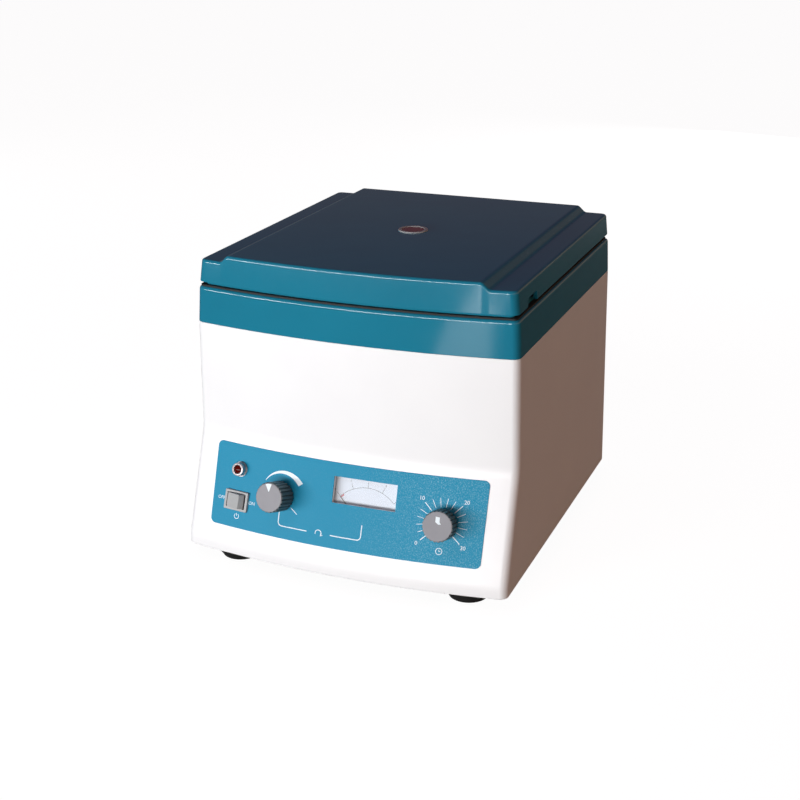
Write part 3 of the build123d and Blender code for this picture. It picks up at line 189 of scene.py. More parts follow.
def turned(profile, spot, steps=48, closed=True):
    """Spin (radius, height) points round z and place the form; an open profile ends on the axis."""
    form = bmesh.new()
    points = [form.verts.new((radius, 0, height)) for radius, height in profile]
    edges = [form.edges.new(pair) for pair in zip(points, points[1:] + points[:closed])]
    bmesh.ops.spin(form, geom=points + edges, cent=(0, 0, 0), axis=(0, 0, 1), angle=2 * pi,
                   steps=steps, use_merge=True)
    bmesh.ops.remove_doubles(form, verts=form.verts, dist=0.0005)
    face_out(form)
    move(form, spot)
    return form


def mesh_of(form, name):
    """Mesh of a bmesh, which is then freed."""
    mesh = bpy.data.meshes.new(name)
    form.to_mesh(mesh)
    form.free()
    return mesh


def put(name, data):
    """An object of a mesh, lamp or camera, linked into the scene."""
    made = bpy.data.objects.new(name, data)
    bpy.context.scene.collection.objects.link(made)
    return made


def join(target, form):
    """Add a finished bmesh to another."""
    mesh = mesh_of(form, "joined")
    target.from_mesh(mesh)
    bpy.data.meshes.remove(mesh)


def move(form, matrix):
    """Place all of a form by a matrix."""
    bmesh.ops.transform(form, matrix=matrix, verts=form.verts)


CRISP = radians(32)  # edges that bend more than this stay crisp


def enter(form, name, finish, body, *stands_for, scale=MM, slot=None):
    """Turn a bmesh into a piece: metres, smooth but for its crisp edges, riding on a body."""
    bmesh.ops.scale(form, vec=(scale,) * 3, verts=form.verts)
    mesh = mesh_of(form, name)
    mesh.materials.append(finish)
    mesh.shade_smooth()
    mesh.set_sharp_from_angle(angle=CRISP)
    made = put(name, mesh)
    evened = made.modifiers.new("even_shading", "WEIGHTED_NORMAL")
    evened.keep_sharp = True
    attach(made, body)
    if stands_for:
        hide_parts(*stands_for)
    return made


feet_low, feet_high = in_mm(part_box("rubber_feet"))
FOOT_TOP_R, FOOT_SOLE_R = 22.0, 15.6
FOOT_WELL_R, FOOT_WELL, FOOT_BORE_R = 4.8, 5.0, 2.05
FOOT_SHOULDER = 9.2  # where the cone ends below the top's band
feet = bmesh.new()
for x in (feet_low.x + FOOT_TOP_R, feet_high.x - FOOT_TOP_R):
    for y in (feet_low.y + FOOT_TOP_R, feet_high.y - FOOT_TOP_R):
        join(feet, turned([
            (FOOT_BORE_R, FOOT_WELL), (FOOT_WELL_R, FOOT_WELL), (FOOT_WELL_R, 0.4),
            (FOOT_WELL_R + 0.4, 0), (FOOT_SOLE_R - 1.2, 0), (FOOT_SOLE_R - 0.35, 0.3),
            (FOOT_SOLE_R, 1.1), (FOOT_TOP_R - 0.9, FOOT_SHOULDER),
            (FOOT_TOP_R, FOOT_SHOULDER + 1.0), (FOOT_TOP_R, FOOT_SHOULDER + 2.3),
            (FOOT_TOP_R - 0.5, feet_high.z), (FOOT_BORE_R, feet_high.z),
        ], Matrix.Translation((x, y, 0)), steps=64))
enter(feet, "foot_pads", black_rubber, "housing", "rubber_feet")


# -------- body shell
# White injection-moulded ABS shell. Its front is bowed and swells forward below a soft crease, so
# the control panel on it tilts up to the user; vents and connectors are cut through its back.
axis_y = (sum(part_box("spin_bowl"), Vector()) / 2 / MM).y
shell_low, shell_high = in_mm(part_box("body_shell"))
TOP_WIDTH = 263.8  # across the top cover's foot
FRONT_DEPTH, BACK_DEPTH = 127.5, 136.0  # front corners and back, from the rotor's axis
BOW = 12.0  # middle of the front ahead of its corners
FLARE = 28.0  # slope's reach forward
SKIRT_TOP = shell_low.z + 8.0
CREASE = shell_low.z + 91.0
CREASE_BLEND = 5.0  # half the height over which the front bends at skirt and crease
CORNER_R = 5.5
WALL = 3.0
SIDE_LEAN = 3.1  # how much further out each side stands at the foot
bow_r = ((TOP_WIDTH / 2) ** 2 + BOW**2) / (2 * BOW)
slope = atan2(FLARE, CREASE - SKIRT_TOP)


def ramp(past, blend=CREASE_BLEND):
    """The distance past a bend, rounded off over the blend on each side of it."""
    if past <= -blend:
        return 0.0
    if past >= blend:
        return past
    return (past + blend) ** 2 / (4 * blend)


def flare_at(level):
    """How far the slope has come forward at this level."""
    return (ramp(CREASE - level) - ramp(SKIRT_TOP - level)) * tan(slope)


def bow_at(x):
    """How far the bowed front is ahead of its corners."""
    return sqrt(bow_r**2 - x**2) - bow_r + BOW


def bisect(form, point, normal):
    """Add a loop where a plane crosses the form."""
    bmesh.ops.bisect_plane(form, geom=form.verts[:] + form.edges[:] + form.faces[:],
                           plane_co=point, plane_no=normal)


def round_edges(form, edges, radius, segments):
    """Round some edges to a radius."""
    bmesh.ops.bevel(form, geom=edges, offset=radius, segments=segments, profile=0.5,
                    affect="EDGES", material=-1, clamp_overlap=True)


def edges_along(form, axis):
    """Edges of a square form that run along an axis: 1 for y, 2 for z."""
    return [edge for edge in form.edges
            if abs(edge.verts[0].co[axis] - edge.verts[1].co[axis]) > 0.5]


BOW_LOOPS = [step * 10.0 for step in range(-12, 13)]  # loops that carry the bow


def housing_form(low, high, inset=0.0, corner=CORNER_R, bends=(), draft=0.0):
    """Closed form of the housing's plan between two levels, with loops across its bow.

    Draft moves the front and sides in over the form's height, the back stays upright."""
    form = bmesh.new()
    bmesh.ops.create_cube(form, size=1)
    size = (TOP_WIDTH - 2 * inset, FRONT_DEPTH + BACK_DEPTH - 2 * inset, high - low)
    middle = (0, axis_y + (BACK_DEPTH - FRONT_DEPTH) / 2, (low + high) / 2)
    bmesh.ops.scale(form, vec=size, verts=form.verts)
    bmesh.ops.translate(form, vec=middle, verts=form.verts)
    round_edges(form, edges_along(form, 2), corner, 6)
    for x in BOW_LOOPS:
        bisect(form, (x, 0, 0), (1, 0, 0))
    for level in bends:
        bisect(form, (0, 0, level), (0, 0, 1))
    for vert in form.verts:
        below = min(max(shell_high.z - vert.co.z, 0), shell_high.z - shell_low.z)
        lean_in = draft * (vert.co.z - low) / (high - low)
        if vert.co.y < axis_y:
            vert.co.y += lean_in - bow_at(vert.co.x) - flare_at(vert.co.z)
        spread = SIDE_LEAN * below / (shell_high.z - shell_low.z) - lean_in
        vert.co.x *= 1 + spread / (TOP_WIDTH / 2)
    return form


def rim_edges(form, level):
    """Edges of the flat face at a level."""
    return [edge for edge in form.edges
            if all(abs(vert.co.z - level) < 0.01 for vert in edge.verts)
            and edge.calc_face_angle(0) > radians(40)]


def combine(base, added=(), cut=()):
    """Add forms to a base form, then cut others from it; the result is a bmesh."""
    worked = put("worked", mesh_of(base, "worked"))
    tools = []
    for form in (*added, *cut):
        tools.append(put("tool", mesh_of(form, "tool")))
        change = worked.modifiers.new("step", "BOOLEAN")
        change.operation = "UNION" if len(tools) <= len(added) else "DIFFERENCE"
        change.solver = "EXACT"
        change.object = tools[-1]
    bpy.context.view_layer.update()
    result = bmesh.new()
    result.from_object(worked, bpy.context.evaluated_depsgraph_get())
    for made in [worked] + tools:
        mesh = made.data
        bpy.data.objects.remove(made)
        bpy.data.meshes.remove(mesh)
    return result


def slab(size, middle=(0, 0, 0), matrix=Matrix()):
    """Square block about a middle, then placed by a matrix."""
    form = bmesh.new()
    bmesh.ops.create_cube(form, size=1)
    bmesh.ops.scale(form, vec=size, verts=form.verts)
    bmesh.ops.translate(form, vec=middle, verts=form.verts)
    move(form, matrix)
    return form


def post(radius, low, high, middle=(0, 0), segments=64, matrix=Matrix()):
    """Closed round post along z from low to high, then placed by a matrix."""
    form = bmesh.new()
    bmesh.ops.create_cone(form, cap_ends=True, segments=segments, radius1=radius, radius2=radius,
                          depth=high - low)
    bmesh.ops.translate(form, vec=(middle[0], middle[1], (low + high) / 2), verts=form.verts)
    move(form, matrix)
    return form


def panel_spot(x, rise):
    """Matrix of a plane touching the sloped front at x, rise above the shell's foot, facing out."""
    turn = x / sqrt(bow_r**2 - x**2)
    across = Vector((1, turn, 0)).normalized()
    out = Vector((turn * cos(slope), -cos(slope), sin(slope))).normalized()
    level = shell_low.z + rise
    front = axis_y - FRONT_DEPTH - bow_at(x) - flare_at(level)
    return (Matrix.Translation((x, front, level))
            @ Matrix((across, out.cross(across), out)).transposed().to_4x4())


SPEED_X, SPEED_RISE = -51.9, 52.4
LAMP = panel_spot(-90.3, 65.9)
SWITCH = panel_spot(-90.9, 42.0)
SPEED = panel_spot(SPEED_X, SPEED_RISE)
TIMER = panel_spot(81.5, 50.5)
METER = panel_spot(18.2, 64.7)
LAMP_HOLE_R, BUSH_R = 4.2, 4.9
SWITCH_HOLE, METER_HOLE = (19.5, 13.9), (51.8, 20.5)
HOLE_REACH = 12.0  # how far a cutter stands out on each side of a wall
back_y = axis_y + BACK_DEPTH
inlet = sum(in_mm(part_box("power_inlet")), Vector()) / 2
fuse = sum(in_mm(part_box("fuse_holder")), Vector()) / 2
INLET_WIDTH, INLET_HEIGHT, FUSE_HOLE_R = 27.3, 20.1, 6.5
VENT_X, VENT_Z = -63.9, shell_low.z + 46.0
VENT_COUNT, VENT_PITCH, VENT_LENGTH, VENT_WIDTH = 9, 9.0, 40.0, 3.5

# Moulded white ABS: satin, near neutral, with a fine spark-eroded texture that softens reflections.
white_abs = new_finish("white_abs", "#eef0f1", Roughness=0.38, IOR=1.53)
mottle(white_abs, "#f0f2f3", "#eaecee", 60.0)
vary_gloss(white_abs, 0.33, 0.42, 14.0)
raise_grain(white_abs, 0.9, 0.012)


def panel_cuts():
    """Cutters for the lamp, the two knobs' bushes, the switch and the meter."""
    rounds = ((LAMP_HOLE_R, LAMP), (BUSH_R, SPEED), (BUSH_R, TIMER))
    blocks = ((SWITCH_HOLE, SWITCH), (METER_HOLE, METER))
    return ([post(radius, -HOLE_REACH, HOLE_REACH, matrix=spot, segments=32)
             for radius, spot in rounds]
            + [slab((*size, 2 * HOLE_REACH), matrix=spot) for size, spot in blocks])


bend_steps = [bend + step * CREASE_BLEND / 2
              for bend in (SKIRT_TOP, CREASE) for step in (-2, -1, 0, 1, 2)]
shell = housing_form(shell_low.z, shell_high.z, bends=bend_steps)
round_edges(shell, rim_edges(shell, shell_low.z), 0.7, 3)
round_edges(shell, rim_edges(shell, shell_high.z), 0.4, 2)
bore = housing_form(shell_low.z - 1, shell_high.z + 1, inset=WALL, corner=CORNER_R - WALL,
                    bends=bend_steps)
through_back = (Matrix.Translation((fuse.x, 0, fuse.z)) @ Matrix.Translation((0, back_y, 0))
                @ Matrix.Rotation(radians(-90), 4, "X"))
cuts = [bore, *panel_cuts(),
        slab((INLET_WIDTH, HOLE_REACH, INLET_HEIGHT), (inlet.x, back_y, inlet.z)),
        post(FUSE_HOLE_R, -8, 8, matrix=through_back, segments=32)]
for vent_number in range(VENT_COUNT):
    x = VENT_X + (vent_number - (VENT_COUNT - 1) / 2) * VENT_PITCH
    vent = slab((VENT_WIDTH, HOLE_REACH, VENT_LENGTH), (x, back_y, VENT_Z))
    round_edges(vent, edges_along(vent, 1), VENT_WIDTH / 2 - 0.01, 6)
    cuts.append(vent)
enter(combine(shell, cut=cuts), "housing_shell", white_abs, "housing", "body_shell")


# -------- motor
# Fan-less series motor hung by its flange from a three-legged plate on rubber bobbins: enamelled
# steel case, cast aluminium ends, copper windings and a ground steel shaft in two ball bearings.

# Stoved enamel on steel: near black, even, with a slight orange peel.
motor_paint = new_finish("motor_paint", "#2a2d31", Roughness=0.45)
mottle(motor_paint, "#2f3237", "#24272b", 12.0)
raise_grain(motor_paint, 1.2, 0.03)

WAVE_RADIANS = 20  # a wave texture's phase grows this much per unit of its scale

# Bright zinc on turned and stamped steel: cleaner and shinier than the sheet.
bright_steel = new_finish("bright_steel", "#c2c4c6", Metallic=1.0)
vary_gloss(bright_steel, 0.18, 0.34, 2.5)
raise_grain(bright_steel, 0.4, 0.008, stretch=(1, 1, 9))

# Turned cast aluminium: bright, with shallow rings about 9 mm apart left by the tool.
cast_aluminium = new_finish("cast_aluminium", "#cfd2d4", Metallic=1.0)
tree, _, place = nodes_of(cast_aluminium)
vary_gloss(cast_aluminium, 0.22, 0.36, 8.0)
centred = add(tree, "Mapping", {"Vector": place, "Location": (0, -axis_y * MM, 0)})
rings = add(tree, "TexWave",
            {"Vector": centred, "Scale": per_grain(1.5) / WAVE_RADIANS,
             "Distortion": 0.2},
            wave_type="RINGS", rings_direction="Z")
raise_pattern(cast_aluminium, rings, 0.01, 0.6)

# Enamelled copper wire: reddish metal whose bunched turns show as low ridges about 5 mm apart.
copper_winding = new_finish("copper_winding", "#b8683c", Metallic=0.9, Roughness=0.35)
tree, _, place = nodes_of(copper_winding)
turns = add(tree, "TexWave",
            {"Vector": place, "Scale": per_grain(0.8) / WAVE_RADIANS, "Distortion": 0.4},
            bands_direction="Z")
raise_pattern(copper_winding, turns, 0.2)

dress(motor_paint, "motor_case")
dress(cast_aluminium, "motor_end_caps")
dress(bright_steel, "motor_bearings", "motor_shaft")
dress(copper_winding, "field_coils", "armature")
dress(zinc_steel, "motor_bracket")
dress(black_rubber, "vibration_mounts")


# -------- chamber
# Deep-drawn stainless bowl that would hold the pieces of a broken slide, hung by its flange, with a
# rubber ring on the flange that the lid's liner presses on.
stainless = new_finish("stainless", "#c9cbcc", Metallic=1.0)
tree, _, place = nodes_of(stainless)
vary_gloss(stainless, 0.16, 0.3, 10.0)
centred = add(tree, "Mapping", {"Vector": place, "Location": (0, -axis_y * MM, 0)})
drawn = add(tree, "Mapping", {"Vector": centred, "Scale": (0.6, 0.6, 14)})
grain = add(tree, "TexNoise", {"Vector": drawn, "Scale": per_grain(9.0), "Detail": 3.0})
raise_pattern(stainless, grain, 0.02, 0.7)

# Silicone rubber: grey and soft-looking, nearly matt.
grey_rubber = new_finish("grey_rubber", "#565a5c", Roughness=0.62)
mottle(grey_rubber, "#5c6062", "#505456", 8.0)
raise_grain(grey_rubber, 0.7, 0.02)

dress(stainless, "spin_bowl")
dress(grey_rubber, "bowl_seal")


# -------- rotor
# Turned aluminium plate on the motor's shaft with four pairs of ears, clamped by a red moulded
# knob that screws onto the shaft's end.
def soften(node, finish, width=0.25):
    """Stand-in for a stiff CAD node: the same solid, its points merged and its edges broken."""
    source = frame["nodes"][node]
    form = bmesh.new()
    form.from_mesh(source.data)
    bmesh.ops.remove_doubles(form, verts=form.verts, dist=0.002 * MM)
    bmesh.ops.dissolve_limit(form, angle_limit=radians(0.4), verts=form.verts, edges=form.edges)
    sharp = [edge for edge in form.edges
             if len(edge.link_faces) == 2 and edge.calc_face_angle(0) > CRISP]
    round_edges(form, sharp, width * MM, 2)
    return enter(form, node + "_form", finish, source["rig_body"], node, scale=1)


# Moulded red plastic: even colour and a soft shine.
red_plastic = new_finish("red_plastic", "#a81a1c", Roughness=0.3, IOR=1.5)
mottle(red_plastic, "#b01e20", "#9b1719", 15.0)
vary_gloss(red_plastic, 0.24, 0.36, 6.0)
raise_grain(red_plastic, 0.8, 0.01)
soften("rotor_plate", cast_aluminium, 0.3)
soften("rotor_knob", red_plastic, 0.3)


# -------- carriers
# Each carrier is a bent stainless clip on two pins, which holds a glass slide, an absorbent card
# with a hole, and a moulded funnel whose spout meets the hole.

# Float glass: clear, faintly green, polished.
slide_glass = new_finish("slide_glass", "#e9f4f0", Roughness=0.02, IOR=1.52,
                         Transmission_Weight=0.9)
mottle(slide_glass, "#ecf6f3", "#e2f1ec", 20.0)
vary_gloss(slide_glass, 0.01, 0.05, 6.0)

# Filter card: pressed cotton fibres, matt and off-white, with fibres about 0.4 mm apart.
white_card = new_finish("white_card", "#efece4", Roughness=0.95)
mottle(white_card, "#f2efe8", "#e6e2d8", 1.5, detail=6.0)
raise_grain(white_card, 0.4, 0.06, detail=5.0)

# Natural polypropylene: milky and a little see-through.
funnel_plastic = new_finish("funnel_plastic", "#dde3e6", Roughness=0.35, IOR=1.49,
                            Transmission_Weight=0.35)
mottle(funnel_plastic, "#e2e8ea", "#d6dde1", 10.0)
vary_gloss(funnel_plastic, 0.28, 0.42, 5.0)
raise_grain(funnel_plastic, 0.8, 0.01)

for number in range(1, 5):
    soften(f"slide_clip_{number}", stainless, 0.15)
    soften(f"sample_funnel_{number}", funnel_plastic, 0.25)
    dress(slide_glass, f"glass_slide_{number}")
    dress(white_card, f"filter_card_{number}")


# -------- top cover
# Teal moulded ABS frame that carries the bowl. Its raised deck stands inside the lid's skirt, and
# its outer edge is rounded where it shows below the lid.
COVER_TOP = shell_high.z + 28.5
DECK_TOP = in_mm(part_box("top_cover"))[1].z
STEP_INSET = 7.0
EDGE_R = 2.5
BOWL_HOLE_R = 108.5
COVER_DRAFT = 1.3

# Pigmented ABS from a polished mould: deep teal, glossy, with a very faint orange-peel surface.
teal_abs = new_finish("teal_abs", "#1a768f", Roughness=0.1, IOR=1.5)
mottle(teal_abs, "#1b7a94", "#18718a", 50.0)
vary_gloss(teal_abs, 0.08, 0.13, 18.0)
raise_grain(teal_abs, 3.5, 0.006)

cover = housing_form(shell_high.z, COVER_TOP, draft=COVER_DRAFT)
round_edges(cover, rim_edges(cover, COVER_TOP), EDGE_R, 5)
round_edges(cover, rim_edges(cover, shell_high.z), 0.4, 2)
under = housing_form(shell_high.z - 1, COVER_TOP - WALL, inset=WALL, corner=CORNER_R - WALL,
                     draft=COVER_DRAFT)
deck = housing_form(COVER_TOP - WALL / 2, DECK_TOP, inset=STEP_INSET, corner=CORNER_R / 2)
round_edges(deck, rim_edges(deck, DECK_TOP), 0.8, 3)
deck_under = housing_form(COVER_TOP - WALL - 1, DECK_TOP - WALL, inset=STEP_INSET + WALL,
                          corner=CORNER_R / 3)
mouth = post(BOWL_HOLE_R, shell_high.z - 2, DECK_TOP + 2, middle=(0, axis_y), segments=128)
enter(combine(cover, added=[deck], cut=[under, deck_under, mouth]), "cover_frame", teal_abs,
      "housing", "top_cover")


# -------- lid strip
# Black rubber strip round the foot of the cover's deck, put in as painted shade: it makes the
# gap under the lid show as a dark line.
STRIP_OUT, STRIP_T = 3.4, 1.3
strip = housing_form(COVER_TOP, COVER_TOP + STRIP_T, inset=STRIP_OUT, corner=CORNER_R - WALL)
strip_hole = housing_form(COVER_TOP - 1, COVER_TOP + STRIP_T + 1, inset=STEP_INSET,
                          corner=CORNER_R / 2)
enter(combine(strip, cut=[strip_hole]), "gap_shade_strip", black_rubber, "housing", slot="black_rubber")


# -------- lid
# Teal moulded lid: a flat plateau runs from front to back between two low flanks. It is hollow,
# with a bonded liner inside, a finger notch low on each side and a sight port over the rotor.
lid_low, lid_high = in_mm(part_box("lid_shell"))
FLANK_HEIGHT = 17.5
PLATEAU_WIDTH, PLATEAU_CHAMFER = 205.0, 5.8
LID_SET = 2.1  # front and sides, in from the cover's foot
LID_DRAFT = 1.6
LID_EDGE_R = 2.2
NOTCH_FRONT, NOTCH_BACK = 108.0, 79.0  # its ends, ahead of the rotor's axis
NOTCH_SLOPE, NOTCH_HEIGHT = 9.0, 6.7
SIGHT_TUBE_R = 10.85
STEP_BLEND = 1.5  # half the width over which the top bends at the plateau's edges
creases = (PLATEAU_WIDTH / 2, PLATEAU_WIDTH / 2 + PLATEAU_CHAMFER)
lid_loops = [x for x in BOW_LOOPS if all(abs(abs(x) - crease) > STEP_BLEND for crease in creases)]
lid_loops += [side * (crease + share * STEP_BLEND)
              for side in (-1, 1) for crease in creases for share in (-1, -0.5, 0, 0.5, 1)]
lid_loops.sort()


def lid_top(x):
    """Height of the lid's top at x: plateau, sloping edge or flank."""
    past = abs(x) - PLATEAU_WIDTH / 2
    run = ramp(past, STEP_BLEND) - ramp(past - PLATEAU_CHAMFER, STEP_BLEND)
    return lid_high.z - run / PLATEAU_CHAMFER * (lid_high.z - lid_low.z - FLANK_HEIGHT)


def lid_outline(inset, draft):
    """The lid's plan as (x, front, back): inset moves all four sides in, draft all but the back."""
    reach = max(CORNER_R - inset, CORNER_R / 3)
    middle = TOP_WIDTH / 2 - inset - draft - reach
    turns = [radians(15 * step) for step in range(7)]
    corner = [(middle + reach * cos(turn), reach * (1 - sin(turn))) for turn in turns]
    ends = [(-x, cut) for x, cut in corner] + [(x, 0) for x in lid_loops] + corner[::-1]
    front, back = axis_y - FRONT_DEPTH + inset + draft, axis_y + BACK_DEPTH - inset
    return [(x, front + cut - bow_at(x), back - cut) for x, cut in ends]


def lid_form(rings):
    """Closed form of outlines in a stack, each given as inset, draft and a height for every x."""
    form = bmesh.new()
    stack = []
    for inset, draft, height in rings:
        outline = lid_outline(inset, draft)
        stack.append(([form.verts.new((x, front, height(x))) for x, front, _ in outline],
                      [form.verts.new((x, back, height(x))) for x, _, back in outline]))
    for fronts, backs in (stack[0], stack[-1]):
        for here in range(len(fronts) - 1):
            form.faces.new((fronts[here], fronts[here + 1], backs[here + 1], backs[here]))
    for (low_fronts, low_backs), (high_fronts, high_backs) in zip(stack, stack[1:]):
        low, high = low_fronts + low_backs[::-1], high_fronts + high_backs[::-1]
        for here in range(len(low)):
            form.faces.new((low[here - 1], low[here], high[here], high[here - 1]))
    face_out(form)
    return form


def above_foot(rise):
    """Height over the lid's foot, the same for every x."""
    return lambda x: lid_low.z + rise


def under_top(drop):
    """Height under the lid's top, which follows the plateau and the flanks."""
    return lambda x: lid_top(x) - drop


foot = [(0.6, LID_SET, above_foot(0)), (0.18, LID_SET, above_foot(0.18)),
        (0, LID_SET, above_foot(0.6))]
brim = [(LID_EDGE_R * (1 - cos(turn)), LID_SET + LID_DRAFT, under_top(LID_EDGE_R * (1 - sin(turn))))
        for turn in (radians(18 * step) for step in range(6))]
lid = lid_form(foot + brim)
hollow = lid_form([(WALL, LID_SET, above_foot(-1)), (WALL, LID_SET + LID_DRAFT, under_top(WALL))])
notch_y = axis_y - (NOTCH_FRONT + NOTCH_BACK) / 2
notch = slab((TOP_WIDTH + 40, NOTCH_FRONT - NOTCH_BACK, 2 * NOTCH_HEIGHT), (0, notch_y, lid_low.z))
for vert in notch.verts:
    if vert.co.z > lid_low.z and vert.co.y < notch_y:
        vert.co.y += NOTCH_SLOPE
sight_bore = post(SIGHT_TUBE_R, lid_low.z, lid_high.z + 5, middle=(0, axis_y))
enter(combine(lid, cut=[hollow, sight_bore, notch]), "lid_cover", teal_abs, "lid", "lid_shell")

# Vacuum-formed ABS liner: pale grey and matt.
grey_abs = new_finish("grey_abs", "#b9bcbd", Roughness=0.5, IOR=1.53)
mottle(grey_abs, "#bec1c2", "#b3b6b8", 40.0)
raise_grain(grey_abs, 1.0, 0.02)
dress(grey_abs, "lid_liner")

# Moulded nylon: pale grey and dull, used for the sight port's sleeve and the power switch.
pale_plastic = new_finish("pale_plastic", "#a7aaab", Roughness=0.4, Specular_IOR_Level=0.15)
mottle(pale_plastic, "#acafb0", "#a1a4a5", 12.0)
vary_gloss(pale_plastic, 0.28, 0.4, 5.0)
raise_grain(pale_plastic, 0.6, 0.008)
soften("sight_ring", pale_plastic, 0.2)

# Tinted sight glass: deep red, polished.
red_glass = new_finish("red_glass", "#8d4143", Roughness=0.12, IOR=1.5)
mottle(red_glass, "#964648", "#84393c", 9.0)
vary_gloss(red_glass, 0.08, 0.2, 5.0)
soften("sight_glass", red_glass, 0.3)


# -------- hinges and screws
# Two plated steel butt hinges at the back with plain pins, and the screws and nuts that hold the
# shells and the controls.
soften("hinge_leaves_body", bright_steel, 0.2)
soften("hinge_leaves_lid", bright_steel, 0.2)
dress(bright_steel, "hinge_pins", "housing_screws", "control_nuts")


# -------- front panel
# Thin aluminium plate, screen-printed teal and stuck to the bowed slope. The scales, numbers and
# symbols are printed over the teal in white ink.
PANEL_WIDTH, PANEL_HEIGHT, PANEL_T = 227.9, 66.4, 0.8
PANEL_X, PANEL_RISE = -0.1, 53.0
PANEL_CORNER_R = 4.2
INK_T = 0.06
INK_STEP = 4.0  # between a printed line's points, so that it follows the bow


def on_panel(x, up_slope, lift):
    """A place on the bowed slope: x across, distance up it from the shell's foot, and lift."""
    level = shell_low.z + up_slope * cos(slope)
    front = axis_y - FRONT_DEPTH - bow_at(x) - (CREASE - level) * tan(slope)
    return Vector((x, front - lift / cos(slope), level))


def wrap_on_panel(form):
    """Bend a flat form, drawn as x, up the slope and lift, onto the slope."""
    for vert in form.verts:
        vert.co = on_panel(*vert.co)
    face_out(form)
    return form


# Screen-printed enamel on aluminium: satin teal, with painted glints as fine pale specks, which
# thicken to the right as a painted sheen.
teal_panel = new_finish("teal_panel", "#1e8cb0", Roughness=0.42, Specular_IOR_Level=0.1)
tree, shader, place = nodes_of(teal_panel)
# Painted glints and sheen: pale specks, made thicker towards the right by a ramp along x.
speckle = add(tree, "TexNoise", {"Vector": place, "Scale": per_grain(0.8), "Detail": 3.0})
painted_specks = add(tree, "MapRange",
             {"Value": speckle, "From Min": 0.48, "From Max": 0.72, "To Max": 0.55})
across = add(tree, "SeparateXYZ", {"Vector": place})
painted_sheen_ramp = add(tree, "MapRange",
               {"Value": across.outputs["X"], "From Min": 0, "From Max": 70 * MM, "To Min": 0.06})
glints = add(tree, "Math", {0: painted_specks, 1: painted_sheen_ramp}, operation="MULTIPLY")
tones = add(tree, "Mix",
            {"Factor": glints, TONE_A: linear("#1d8aae"), TONE_B: linear("#8ebfcf")},
            data_type="RGBA")
tree.links.new(tones.outputs[TONE_OUT], shader.inputs["Base Color"])
vary_gloss(teal_panel, 0.36, 0.5, 3.0)
raise_grain(teal_panel, 0.5, 0.01)

plate = slab((PANEL_WIDTH, PANEL_HEIGHT, PANEL_T), (PANEL_X, PANEL_RISE / cos(slope), PANEL_T / 2))
round_edges(plate, edges_along(plate, 2), PANEL_CORNER_R, 6)
round_edges(plate, rim_edges(plate, PANEL_T), 0.15, 2)
for step in range(-11, 12):
    bisect(plate, (step * 10.0, 0, 0), (1, 0, 0))
wrap_on_panel(plate)
enter(combine(plate, cut=panel_cuts()), "panel_plate", teal_panel, "housing", "front_panel")

# White ink: slightly bluish, matt.
white_ink = new_finish("white_ink", "#e3eff5", Roughness=0.55)
mottle(white_ink, "#e8f3f8", "#d9e8f0", 2.0)


def traced(drawn):
    """Bmesh of a curve or of letters, which are then removed."""
    carrier = bpy.data.objects.new("traced", drawn)
    mesh = bpy.data.meshes.new_from_object(carrier)
    form = bmesh.new()
    form.from_mesh(mesh)
    bmesh.ops.remove_doubles(form, verts=form.verts, dist=0.001)
    bpy.data.objects.remove(carrier)
    bpy.data.curves.remove(drawn)
    bpy.data.meshes.remove(mesh)
    return form


def thicken(form, step):
    """Extrude a flat form's faces by a step, which closes it."""
    made = bmesh.ops.extrude_face_region(form, geom=form.faces[:])
    moved = [item for item in made["geom"] if isinstance(item, bmesh.types.BMVert)]
    bmesh.ops.translate(form, vec=step, verts=moved)
    face_out(form)


def ink_line(form, corners, width, lift=PANEL_T):
    """Flat bead of ink along points (x, up), added to a form."""
    points = [corners[0]]
    for start, end in zip(corners, corners[1:]):
        run = Vector(end) - Vector(start)
        pieces = max(1, round(run.length / INK_STEP))
        points += [Vector(start) + run * piece / pieces for piece in range(1, pieces + 1)]
    drawn = bpy.data.curves.new("line", "CURVE")
    drawn.dimensions = "3D"
    drawn.bevel_depth = width / 2
    drawn.bevel_resolution = 1
    drawn.use_fill_caps = True
    spline = drawn.splines.new("POLY")
    spline.points.add(len(points) - 1)
    for target, point in zip(spline.points, points):
        target.co = (point[0], point[1], 0, 1)
    bead = traced(drawn)
    bmesh.ops.scale(bead, vec=(1, 1, INK_T / width), verts=bead.verts)
    bmesh.ops.translate(bead, vec=(0, 0, lift), verts=bead.verts)
    join(form, bead)


def ink_text(form, words, middle, height, lift=PANEL_T):
    """Plain printed figures of this height, centred on a point."""
    drawn = bpy.data.curves.new("figures", "FONT")
    drawn.body = words
    drawn.size = height / 0.7  # the font's figures are 0.7 of its size high
    drawn.align_x = drawn.align_y = "CENTER"
    drawn.extrude = INK_T / 2
    letters = traced(drawn)
    bmesh.ops.translate(letters, vec=(*middle, lift), verts=letters.verts)
    join(form, letters)


def polar(middle, radius, degrees):
    """Point (x, up) at a radius and an angle from a middle."""
    turn = radians(degrees)
    return (middle[0] + radius * cos(turn), middle[1] + radius * sin(turn))


def arc(middle, radius, start, end, steps=24):
    """Points along an arc."""
    return [polar(middle, radius, start + (end - start) * step / steps)
            for step in range(steps + 1)]


printing = bmesh.new()
BOLD_LINE, LINE, FINE_LINE = 0.75, 0.55, 0.5

